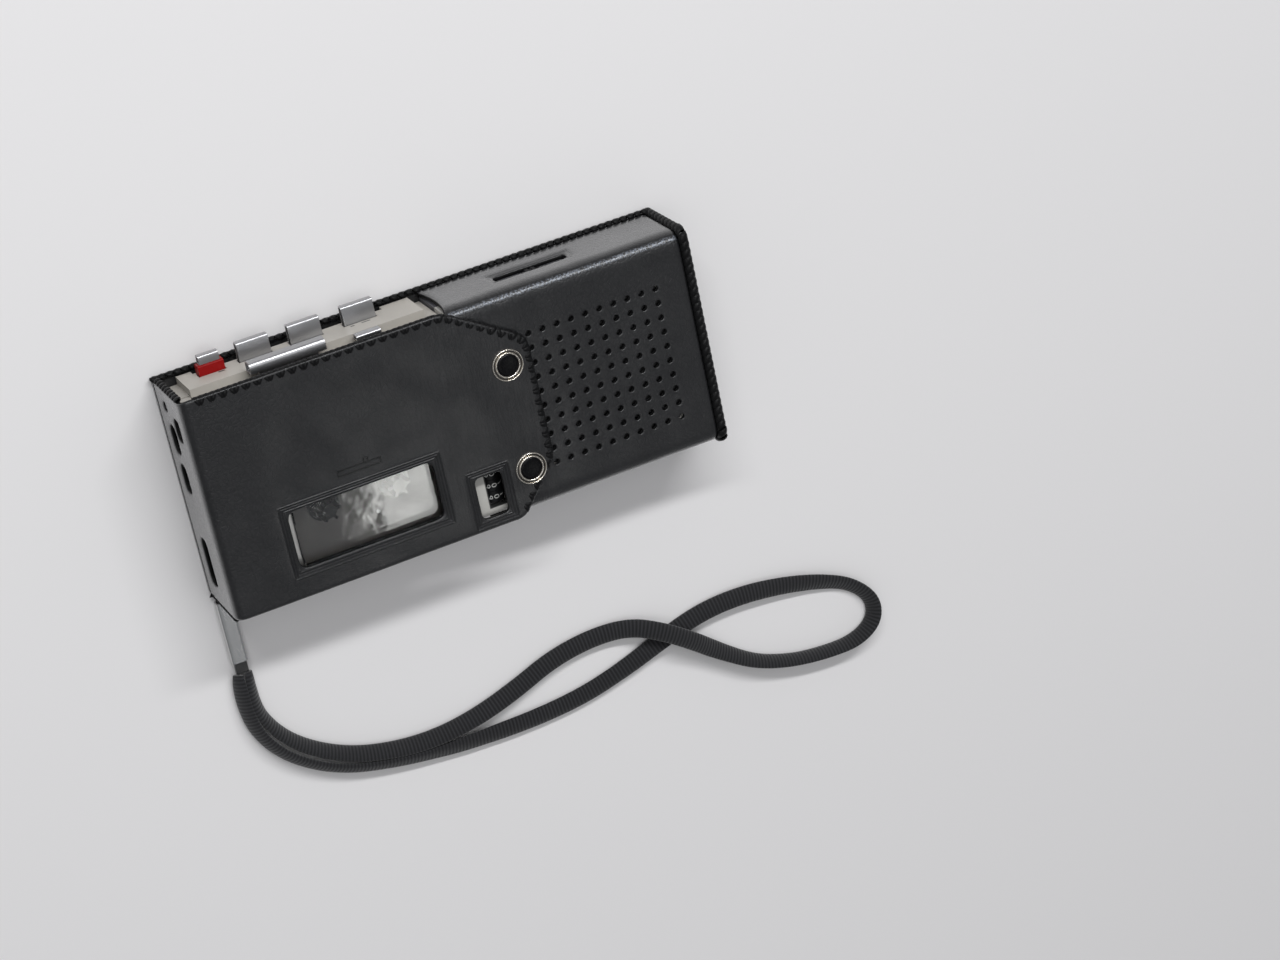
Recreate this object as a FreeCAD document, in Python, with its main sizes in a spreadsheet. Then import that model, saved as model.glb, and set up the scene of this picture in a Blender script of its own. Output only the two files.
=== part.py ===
"""Hand-held microcassette dictation machine in its laced leather carrying case.

Frame: X runs along the recorder towards the loudspeaker end, Y towards the keys,
Z out of the front face. The case lies on its back on Z = 0, with the origin below
the middle of the whole object, strap left out. Lengths are in millimetres.
"""

import FreeCAD
import Part
import Sketcher
import math
import os
import re

from FreeCAD import Matrix, Placement, Vector

# Driving sizes: alias, value, what it is

SIZES = [
    ("leather", 1.5, "thickness of the case leather"),
    ("lay_gap", 0.3, "room between leather and recorder and between layers"),
    ("run_gap", 0.05, "radial clearance of a shaft in its bearing"),
    ("end_ridge", 1.5, "how far the laced seam stands out of the right end"),
    ("seam_band", 2.4, "breadth of the laced seam round the right end"),
    ("bead", 0.8, "how far a laced edge stands out of the long sides"),
    ("bead_height", 2.2, "height of a laced edge"),
    ("fold_radius", 4.0, "outer radius of the leather fold above the left wall"),
    ("pocket_radius", 4.0, "outer radius of the pocket's front edges"),
    ("recorder_width", 61.4, "recorder across the keys"),
    ("recorder_thickness", 20.4, "recorder from back to front"),
    ("counter_bay", 21.1, "cassette lid's right end to the middle of the recorder's rib"),
    ("shell_wall", 1.6, "wall of the moulded shells"),
    ("shell_corner", 3.0, "corner radius of the shells"),
    ("shell_gap", 0.1, "gap between the two shells, and round the key panel"),
    ("press_gap", 0.01, "gap of a pin or a bearing pressed into its hole"),
    ("rear_depth", 11.6, "depth of the rear shell"),
    ("rib_wall", 1.2, "rib between the deck bay and the battery bay"),
    # Case openings
    ("pocket_mouth", 77.3, "left face to the mouth of the pocket"),
    ("mouth_scoop", 42.0, "radius of the scooped edge of the pocket's mouth"),
    ("scoop_depth", 1.7, "how deep the scoop reaches into the pocket"),
    ("flap_past_snap", 7.4, "snap fasteners to the flap's free edge"),
    ("flap_upper_slant", 22.6, "flap's upper slanted edge along the case"),
    ("flap_lower_slant", 12.0, "flap's lower slanted edge along the case"),
    ("flap_overhang", 0.5, "flap's edge past the keys side"),
    ("flap_upper_cut", 13.8, "keys side to the flap's upper right corner"),
    ("flap_lower_cut", 50.5, "keys side to the flap's lower right corner"),
    ("flap_round", 7.0, "corner radius at the flap's free edge"),
    ("window_left", 21.0, "left face to the cassette window"),
    ("window_length", 43.0, "cassette window along the case"),
    ("window_from_keys", 39.5, "keys side to the cassette window"),
    ("window_width", 17.0, "cassette window across the case"),
    ("window_corner", 1.2, "corner radius of the flap's windows"),
    ("dial_from_divide", 16.6, "rib to the left edge of the counter window"),
    ("dial_length", 8.0, "counter window along the case"),
    ("dial_from_keys", 49.0, "keys side to the counter window"),
    ("dial_width", 14.0, "counter window across the case"),
    ("notch_margin", 1.5, "counter window to the edge of the pocket's notch"),
    ("notch_round", 3.0, "corner radius of that notch"),
    ("emboss_width", 1.8, "width of the pressed frame round a window"),
    ("emboss_depth", 0.5, "depth of the pressed frame"),
    ("bump_from_left", 43.4, "left face to the bump over the lid's catch"),
    ("bump_from_keys", 34.0, "keys side to the bump over the lid's catch"),
    ("bump_length", 12.0, "length of that bump"),
    ("bump_width", 2.2, "width of that bump"),
    ("bump_height", 0.6, "height of that bump"),
    ("hole_pitch", 4.36, "pitch of the loudspeaker perforations"),
    ("hole_count", 10, "perforations each way"),
    ("hole_radius", 0.83, "radius of one perforation"),
    ("grid_from_right", 13.0, "right end to the last row of perforations"),
    ("grid_from_keys", 14.0, "keys side to the first row of perforations"),
    ("slot_length", 22.0, "slot over the volume wheel"),
    ("slot_height", 3.4, "height of that slot"),
    ("slot_frame", 1.3, "pressed frame past the ends of that slot"),
    ("slot_frame_side", 1.9, "pressed frame past its long sides"),
    ("slot_frame_depth", 0.4, "depth of the frame round the slot"),
    ("port_level", 10.5, "height of the jack openings above the floor"),
    ("mic_port_from_keys", 14.5, "keys side to the microphone jack"),
    ("ear_port_from_keys", 26.5, "keys side to the earphone jack"),
    ("dc_port_from_keys", 52.0, "keys side to the power jack"),
    ("small_port", 8.5, "length of the two smaller oval openings"),
    ("large_port", 14.5, "length of the largest oval opening"),
    ("port_height", 5.0, "height of the oval openings"),
    ("mic_from_keys", 9.6, "keys side to the built-in microphone"),
    ("mic_level", 17.2, "height of the built-in microphone above the floor"),
    ("voice_port_length", 7.0, "length of the opening over the built-in microphone"),
    ("voice_port_height", 4.6, "height of the opening over the built-in microphone"),
    ("voice_rim", 0.9, "breadth of the rim round that opening"),
    ("voice_groove", 0.7, "breadth of the groove round that rim"),
    ("voice_groove_depth", 0.4, "depth of that groove"),
    ("peep_from_keys", 5.0, "keys side to the small peep hole"),
    ("peep_drop", 1.5, "peep hole below the jack openings"),
    ("peep_length", 3.5, "length of the peep hole"),
    ("peep_height", 1.5, "height of the peep hole"),
    # Snap fasteners
    ("snap_from_divide", 0.4, "rib to the snap fasteners"),
    ("snap_a_from_keys", 19.8, "keys side to the upper snap"),
    ("snap_b_from_keys", 51.2, "keys side to the lower snap"),
    ("snap_ring_radius", 3.65, "middle radius of a snap's ring"),
    ("snap_ring_tube", 0.85, "radius of that ring's round"),
    ("snap_dome_radius", 6.0, "ball radius of a snap's domed centre"),
    ("snap_dome_height", 0.7, "height of the domed centre"),
    ("socket_radius", 2.6, "snap socket set into the flap"),
    ("stud_radius", 1.5, "snap stud on the pocket"),
    ("stud_height", 1.2, "height of the snap stud"),
    ("stud_room", 0.35, "room between stud and socket"),
    ("stud_base_radius", 3.0, "riveted base of a stud"),
    ("stud_base_sheet", 0.15, "thickness of that base"),
    # Key side
    ("ledge_depth", 3.0, "keys side to the panel's ledge"),
    ("channel_depth", 0.6, "keys side to the top of the raised channel"),
    ("panel_wall", 2.0, "thickness of the key panel"),
    ("panel_lap", 0.8, "end of the key panel inside the pocket"),
    ("channel_left", 6.3, "left face to the raised channel"),
    ("channel_short", 2.5, "channel's right end to the pocket's mouth"),
    ("channel_back", 4.7, "floor to the channel's back edge behind the keys"),
    ("channel_front", 15.5, "floor to the channel's front edge"),
    ("block_left_end", 10.6, "left face to the end of the channel's left block"),
    ("block_right_length", 8.4, "length of the channel's right block"),
    ("channel_root", 0.5, "how deep the channel is rooted in the panel"),
    ("block_clear", 0.2, "laced back edge to the channel's end blocks"),
    ("ledge_groove", 0.8, "width of the groove along the ledge"),
    ("ledge_groove_depth", 0.5, "depth of the groove along the ledge"),
    ("key_back", 5.7, "floor to the backs of the keys"),
    ("key_sheet", 2.5, "thickness of a key's folded cap"),
    ("key_width", 9.3, "width of the rewind, forward and play keys"),
    ("key_stand", 4.9, "keys above the case's side"),
    ("key_round", 1.1, "rounding of a key's top"),
    ("cap_root", 0.4, "how far a cap reaches inside the panel"),
    ("stem_lap", 0.6, "stem inside its cap"),
    ("stem_inset", 0.2, "stem below the faces of its cap"),
    ("record_from_left", 15.2, "left face to the record key"),
    ("rewind_from_left", 27.9, "left face to the rewind key"),
    ("forward_from_left", 42.9, "left face to the forward key"),
    ("play_from_left", 58.7, "left face to the play key"),
    ("record_cap_width", 5.9, "width of the record key's metal cap"),
    ("record_button_width", 7.4, "width of the red button"),
    ("record_button_stand", 2.3, "red button above the case's side"),
    ("record_button_sheet", 3.4, "thickness of the red button"),
    ("button_drop", 0.45, "red button behind the backs of the keys"),
    ("button_round", 0.5, "rounding of the red button"),
    ("cap_wall", 0.55, "sheet of the record key's metal cap"),
    ("stop_from_left", 33.5, "left face to the middle of the stop bar"),
    ("stop_length", 22.0, "length of the stop bar"),
    ("stop_sheet", 4.2, "thickness of the stop bar"),
    ("stop_level", 18.3, "floor to the middle of the stop bar"),
    ("stop_stand", 2.8, "stop bar above the case's side"),
    ("stop_stem_sheet", 1.8, "thickness of the stop bar's stem"),
    ("pause_from_left", 57.0, "left face to the middle of the pause slider"),
    ("pause_length", 7.3, "length of the pause slider"),
    ("pause_sheet", 2.4, "thickness of the pause slider"),
    ("pause_level", 18.2, "floor to the middle of the pause slider"),
    ("pause_travel", 5.0, "travel of the pause slider"),
    ("pause_slot_length", 4.4, "slot under the pause slider without its travel"),
    ("pause_slot_height", 2.0, "height of that slot"),
    ("dish_margin", 0.6, "recess past the pause slider's ends"),
    ("dish_height", 3.2, "height of that recess"),
    ("dish_depth", 0.7, "depth of that recess"),
    ("neck_length", 3.6, "length of the pause slider's neck"),
    ("neck_height", 1.4, "height of that neck"),
    ("foot_length", 5.2, "length of the pause slider's foot"),
    ("foot_height", 3.0, "height of that foot"),
    ("foot_sheet", 0.9, "thickness of that foot"),
    ("groove_start", 1.0, "pause slider's end to its first grip groove"),
    ("groove_pitch", 0.9, "pitch of the grip grooves"),
    ("groove_width", 0.4, "width and depth of a grip groove"),
    ("groove_count", 7, "grip grooves on the pause slider"),
    ("stem_end", 13.0, "keys side to the inner end of a key's stem"),
    ("stem_width", 4.0, "width of a key's stem"),
    ("spring_length", 6.3, "length of a key's return spring"),
    ("spring_radius", 1.2, "outer radius of a key's return spring"),
    ("spring_wire", 0.4, "thickness of the spring's coil"),
    ("frame_sheet", 0.8, "sheet of the frame that carries the keys"),
    ("frame_past_keys", 6.0, "key frame past the middles of its end keys"),
    ("frame_from_panel", 3.5, "key panel to the edge of the key frame"),
    ("frame_clear", 0.1, "keys to the frame they slide on"),
    ("frame_foot_a", 21.5, "left face to the key frame's first foot"),
    ("frame_foot_b", 50.5, "left face to the key frame's second foot"),
    ("frame_foot_width", 3.0, "width of a foot"),
    ("bracket_width", 6.0, "width of the bracket behind the stop bar's spring"),
    ("bracket_above", 1.5, "bracket above the middle of the stop bar"),
    # Deck
    ("deck_height", 8.8, "recorder's back to the underside of the deck"),
    ("deck_sheet", 1.2, "thickness of the deck"),
    ("deck_left", 17.6, "left face to the deck's main edge"),
    ("deck_from_keys", 8.0, "keys side to the deck's edge"),
    ("deck_tab", 15.3, "breadth of the deck's tab that holds the motor"),
    ("deck_round", 2.0, "corner radius of the deck"),
    ("table_lift", 0.3, "deck to the underside of a reel table"),
    ("table_sheet", 0.9, "thickness of a reel table"),
    ("spindle_from_keys", 45.8, "keys side to both reel spindles"),
    ("supply_from_left", 34.3, "left face to the supply spindle"),
    ("reel_spacing", 20.9, "distance between the reel spindles"),
    ("reel_gear_radius", 5.5, "reel drive wheel below the deck"),
    ("reel_shaft_radius", 1.4, "shaft of a reel spindle"),
    ("reel_table_radius", 4.6, "reel table above the deck"),
    ("reel_hub_radius", 2.0, "hub of a reel spindle"),
    ("reel_fin", 1.4, "how far the hub's fins stand out"),
    ("reel_height", 5.6, "height of the finned hub"),
    ("fin_sheet", 0.9, "thickness of a fin"),
    ("fin_short", 0.6, "fins below the top of the hub"),
    ("reel_gap", 0.4, "flywheel to the reel drive wheels"),
    ("reel_below_deck", 0.8, "reel drive wheels below the deck"),
    ("capstan_from_left", 61.0, "left face to the capstan"),
    ("capstan_from_keys", 30.3, "keys side to the capstan"),
    ("capstan_radius", 0.75, "radius of the capstan"),
    ("capstan_height", 6.5, "capstan above the deck"),
    ("bearing_radius", 2.0, "outer radius of the capstan bearing"),
    ("bearing_above", 0.9, "capstan bearing above the deck"),
    ("bearing_below", 0.5, "capstan bearing below the deck"),
    ("thrust_height", 0.5, "height of the pad under the capstan"),
    ("thrust_radius", 2.0, "radius of that pad"),
    ("flywheel_radius", 9.0, "radius of the flywheel"),
    ("flywheel_thickness", 2.8, "thickness of the flywheel"),
    ("flywheel_lift", 1.2, "shell floor to the flywheel"),
    ("flywheel_hub", 3.0, "radius of the flywheel's drive hub"),
    ("idler_post_radius", 0.8, "radius of the idler's post"),
    ("idler_lift", 0.3, "idler above the underside of the reel wheels"),
    ("idler_drop", 0.2, "idler below the top of the reel wheels"),
    ("motor_from_left", 10.4, "left face to the motor's axis"),
    ("motor_from_keys", 37.0, "keys side to the motor's axis"),
    ("motor_radius", 6.1, "radius of the motor"),
    ("motor_height", 11.0, "height of the motor"),
    ("motor_above_belt", 2.2, "underside of the belt to the motor's can"),
    ("motor_boss", 0.5, "height of the boss round the motor's shaft"),
    ("motor_boss_radius", 2.0, "radius of that boss"),
    ("motor_flange", 0.6, "thickness of the motor's flange"),
    ("motor_flange_rim", 0.7, "flange past the can"),
    ("motor_fit", 0.1, "gap between the can and the deck"),
    ("motor_shaft_radius", 0.5, "radius of the motor's shaft"),
    ("motor_shaft_length", 5.5, "motor's shaft above the underside of the belt"),
    ("pulley_radius", 1.5, "radius of the motor pulley"),
    ("belt_side", 1.0, "side of the square drive belt"),
    ("belt_lift", 0.8, "flywheel's underside to the belt"),
    ("pulley_margin", 0.3, "pulley past the belt on each side"),
    ("pinch_pivot_from_left", 70.5, "left face to the pinch arm's pivot"),
    ("pinch_pivot_from_keys", 22.0, "keys side to the pinch arm's pivot"),
    ("pinch_roller_radius", 3.0, "radius of the pinch roller"),
    ("pinch_release", 2.0, "gap from pinch roller to capstan when released"),
    ("pinch_post_radius", 0.9, "radius of the pinch arm's post"),
    ("pinch_post_height", 2.8, "height of that post"),
    ("pinch_foot_radius", 1.8, "radius of the post's foot"),
    ("pinch_foot_height", 1.0, "height of the post's foot"),
    ("pinch_head_radius", 1.6, "radius of the post's head"),
    ("pinch_head", 0.5, "height of the post's head"),
    ("arm_margin", 1.6, "pinch arm past its pivot and its roller's axle"),
    ("arm_lift", 1.2, "deck to the pinch arm"),
    ("arm_sheet", 0.8, "thickness of the pinch arm"),
    ("roller_axle_radius", 0.6, "radius of the pinch roller's axle"),
    ("roller_lift", 2.3, "deck to the pinch roller"),
    ("roller_height", 4.3, "height of the pinch roller"),
    ("slide_past_supply", 10.0, "head slide past the supply spindle"),
    ("slide_to_capstan", 5.4, "head slide's end to the capstan"),
    ("slide_from_keys", 20.9, "keys side to the head slide"),
    ("slide_width", 5.1, "width of the head slide"),
    ("slide_lift", 0.1, "deck to the head slide"),
    ("slide_sheet", 0.8, "thickness of the head slide"),
    ("head_width", 5.8, "width of the record and play head"),
    ("head_depth", 5.8, "depth of that head"),
    ("head_height", 6.1, "height of that head"),
    ("head_round", 0.9, "corner radius of the heads"),
    ("head_set_back", 0.5, "slide's edge to the back of that head"),
    ("erase_offset", 10.4, "record and play head to the erase head"),
    ("erase_width", 4.0, "width of the erase head"),
    ("erase_depth", 4.6, "depth of the erase head"),
    ("erase_height", 5.5, "height of the erase head"),
    ("erase_set_back", 1.5, "slide's edge to the back of the erase head"),
    # Cassette lid
    ("lid_left_rim", 3.9, "lid's left end to its window"),
    ("lid_right_rim", 4.7, "lid's right end past its window"),
    ("lid_from_keys", 27.8, "keys side to the lid's free edge"),
    ("lid_sheet", 1.8, "thickness of the lid"),
    ("lid_window_margin", 1.8, "lid window past the flap's window"),
    ("lid_window_corner", 1.4, "corner radius of the lid's window"),
    ("glass_lift", 0.2, "lid's inner face to the window"),
    ("glass_sink", 0.4, "lid's outer face to the window"),
    ("lid_tab_width", 1.6, "width of the lid's finger tab"),
    ("lid_tab_height", 0.6, "height of the lid's finger tab"),
    ("well_wall", 1.2, "walls that hold the lid's hinge pin"),
    ("pin_short", 0.1, "end of the hinge pin inside its wall"),
    ("pin_radius", 0.4, "radius of the lid's hinge pin"),
    ("barrel_radius", 0.9, "radius of the lid's hinge barrel"),
    # Counter
    ("drum_radius", 3.0, "radius of a counter drum"),
    ("drum_width", 3.3, "width of a counter drum"),
    ("drum_from_divide", 10.4, "rib to the counter's axle"),
    ("drum_from_keys", 49.6, "keys side to the first drum"),
    ("drum_sink", 4.2, "recorder's front to the counter's axle"),
    ("axle_radius", 0.5, "radius of the counter's axle"),
    ("drum_gap", 0.15, "gap between two drums"),
    ("drum_slot_width", 5.2, "slot over the drums along the recorder"),
    ("drum_slot_low", 0.8, "that slot past the last drum"),
    ("drum_slot_high", 0.4, "that slot past the first drum"),
    ("drum_slot_corner", 0.8, "corner radius of that slot"),
    ("counter_sheet", 0.8, "sheet of the counter's frame"),
    ("counter_foot", 7.2, "breadth of the counter's foot"),
    ("counter_cheek", 3.6, "breadth of the counter's cheeks"),
    ("cheek_above", 1.6, "cheeks above the counter's axle"),
    # Power bay
    ("speaker_radius", 19.0, "radius of the loudspeaker's rim"),
    ("speaker_from_keys", 25.5, "keys side to the loudspeaker's axis"),
    ("magnet_radius", 6.0, "radius of the loudspeaker's magnet"),
    ("speaker_rim", 1.0, "thickness of the loudspeaker's rim"),
    ("basket_depth", 2.6, "depth of the loudspeaker's basket"),
    ("basket_sheet", 0.6, "sheet of the basket"),
    ("basket_foot", 3.0, "basket's foot past the magnet"),
    ("basket_in", 1.5, "basket inside the rim"),
    ("cone_depth", 1.5, "depth of the paper cone"),
    ("cone_sink", 1.8, "top of the rim to the cone's throat"),
    ("cone_paper", 0.3, "thickness of the paper, along the axis"),
    ("cone_throat", 2.0, "cone's throat inside the magnet's radius"),
    ("cone_edge", 5.4, "cone's edge inside the rim's radius"),
    ("coil_height", 0.55, "height of the voice coil"),
    ("grille_side", 42.0, "side of the metal loudspeaker grille"),
    ("grille_sheet", 0.9, "thickness of the metal grille"),
    ("grille_fit", 0.05, "gap between the grille and its opening"),
    ("grille_round", 3.0, "corner radius of the grille's opening"),
    ("grille_border", 4.0, "grille's edge to the ends of its slots"),
    ("grille_first", 3.3, "grille's edge to its first slot"),
    ("grille_pitch", 4.1, "pitch of the grille's slots"),
    ("grille_slot", 1.8, "width of a slot in the grille"),
    ("grille_count", 9, "slots in the grille"),
    ("cell_radius", 7.1, "radius of a battery cell"),
    ("cell_length", 49.5, "length of a battery cell without its tip"),
    ("cell_tip", 1.0, "length of a cell's tip"),
    ("cell_tip_radius", 2.6, "radius of a cell's tip"),
    ("coil_room", 3.75, "room for the coiled contact behind a cell"),
    ("coil_foot_radius", 4.2, "foot radius of a coiled contact"),
    ("coil_tip_radius", 2.2, "tip radius of a coiled contact"),
    ("contact_sheet", 0.5, "sheet of the contact that joins the cells"),
    ("contact_side", 5.0, "half height of that contact"),
    ("contact_lap", 4.0, "that contact past the axes of the cells"),
    ("cell_gap", 0.6, "gap between the cells"),
    ("door_from_divide", 2.0, "rib to the battery door's opening"),
    ("door_from_right", 0.6, "right wall to that opening"),
    ("door_from_low", 0.8, "lower wall to that opening"),
    ("door_gap", 0.2, "gap round the battery door"),
    ("door_round", 1.0, "corner radius of that opening"),
    ("wheel_radius", 8.0, "radius of the volume wheel"),
    ("wheel_sheet", 2.4, "thickness of the volume wheel"),
    ("wheel_stand", 0.9, "volume wheel out of the recorder's side"),
    ("wheel_level", 11.8, "floor to the middle of the volume wheel"),
    ("wheel_from_divide", 16.9, "rib to the volume wheel's axis"),
    ("wheel_post", 1.2, "radius of the volume wheel's post"),
    ("notch_radius", 0.6, "radius of a grip notch"),
    ("notch_out", 0.25, "middle of a notch outside the wheel"),
    ("wheel_notches", 24, "grip notches on the volume wheel"),
    ("board_sheet", 1.2, "thickness of the circuit board"),
    ("board_level", 8.4, "floor to the underside of the circuit board"),
    ("board_length", 36.0, "length of the circuit board"),
    ("board_from_divide", 5.8, "rib to the circuit board"),
    ("board_post_in", 2.5, "board's end to its posts"),
    ("board_post_up", 3.0, "board's edge to its posts"),
    ("board_post_radius", 1.5, "radius of a board post"),
    ("capacitor_radius", 2.2, "radius of the two large capacitors"),
    ("capacitor_small", 1.8, "radius of the small capacitor"),
    ("capacitor_height", 4.6, "height of a capacitor"),
    ("capacitor_in", 6.0, "board's end and edge to the first capacitor"),
    ("capacitor_pitch", 6.0, "first capacitor to the second"),
    ("chip_length", 10.0, "length of the amplifier chip"),
    ("chip_width", 6.0, "width of the amplifier chip"),
    ("chip_height", 2.4, "height of the amplifier chip"),
    ("chip_in", 17.0, "board's end to the chip"),
    ("chip_from_edge", 8.0, "board's keys edge to the chip"),
    ("transformer_length", 8.0, "length of the transformer"),
    ("transformer_width", 7.0, "width of the transformer"),
    ("transformer_height", 4.4, "height of the transformer"),
    ("transformer_gap", 3.0, "chip to the transformer"),
    ("jack_nose_radius", 2.0, "radius of a jack's nose"),
    ("jack_bore_radius", 1.75, "radius of a jack's bore"),
    ("jack_depth", 7.0, "length of a jack's housing"),
    ("jack_side", 4.8, "height of a jack's housing"),
    ("signal_jack_width", 5.4, "width of a microphone or earphone jack"),
    ("dc_jack_width", 7.2, "width of the power jack"),
    ("dc_pin_radius", 0.5, "radius of the power jack's pin"),
    ("jack_floor", 1.0, "end wall of a jack"),
    ("mic_radius", 3.0, "radius of the built-in microphone"),
    ("mic_length", 5.0, "length of the built-in microphone"),
    ("mic_hole_radius", 1.6, "hole in the shell before that microphone"),
    ("screw_radius", 0.7, "radius of a shell screw"),
    ("screw_head_radius", 1.4, "radius of a shell screw's head"),
    ("screw_head", 0.9, "height of a shell screw's head"),
    ("screw_bite", 5.0, "shell screw inside the front shell"),
    ("screw_gap", 0.1, "gap round a shell screw"),
    ("post_radius", 2.0, "radius of a screw post"),
    ("screw_from_left", 6.2, "left face to the two screws at the deck's end"),
    ("screw_from_low", 5.8, "lower side to the first screw"),
    ("screw_from_keys", 20.6, "keys side to the second screw"),
    ("end_screw_in", 3.9, "recorder's right face to the third screw"),
    ("rib_screw_in", 3.0, "rib to the fourth screw"),
    ("bay_screw_from_keys", 6.0, "keys side to the third and fourth screws"),
    ("deck_post_in", 3.0, "deck's left edge to its first posts"),
    ("deck_post_up", 6.2, "lower side to the deck's posts there"),
    ("deck_post_a", 24.5, "keys side to the deck's upper left post"),
    ("deck_post_b", 14.0, "keys side to the deck's upper right post"),
    ("deck_post_right", 16.7, "deck's right edge to its last posts"),
    # Wrist strap
    ("strap_from_left", 2.8, "left face to the middle of the strap's clasp"),
    ("clasp_width", 5.0, "width of the folded metal clasp"),
    ("clasp_height", 3.4, "height of the folded metal clasp"),
    ("clasp_sheet", 0.5, "thickness of the clasp's metal"),
    ("clasp_length", 19.0, "length of the clasp"),
    ("clasp_gap", 2.2, "laced edge to the clasp"),
    ("clasp_round", 1.2, "corner radius of the folded clasp"),
    ("clasp_split", 0.3, "gap where the clasp's fold closes"),
    ("tab_width", 3.2, "width of the leather tab in the clasp"),
    ("tab_sheet", 1.6, "thickness of that tab"),
    ("tab_tuck", 5.0, "tab inside the clasp"),
    ("sleeve_length", 12.0, "length of the vinyl sleeve"),
    ("sleeve_out", 3.8, "sleeve outside the clasp"),
    ("sleeve_fit", 0.1, "gap between clasp and sleeve"),
    ("strap_radius", 1.5, "radius of the strap's plain tube"),
    ("strap_spread", 3.4, "distance between the two strands at the sleeve"),
]

# Places worked out from the sizes

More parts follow.
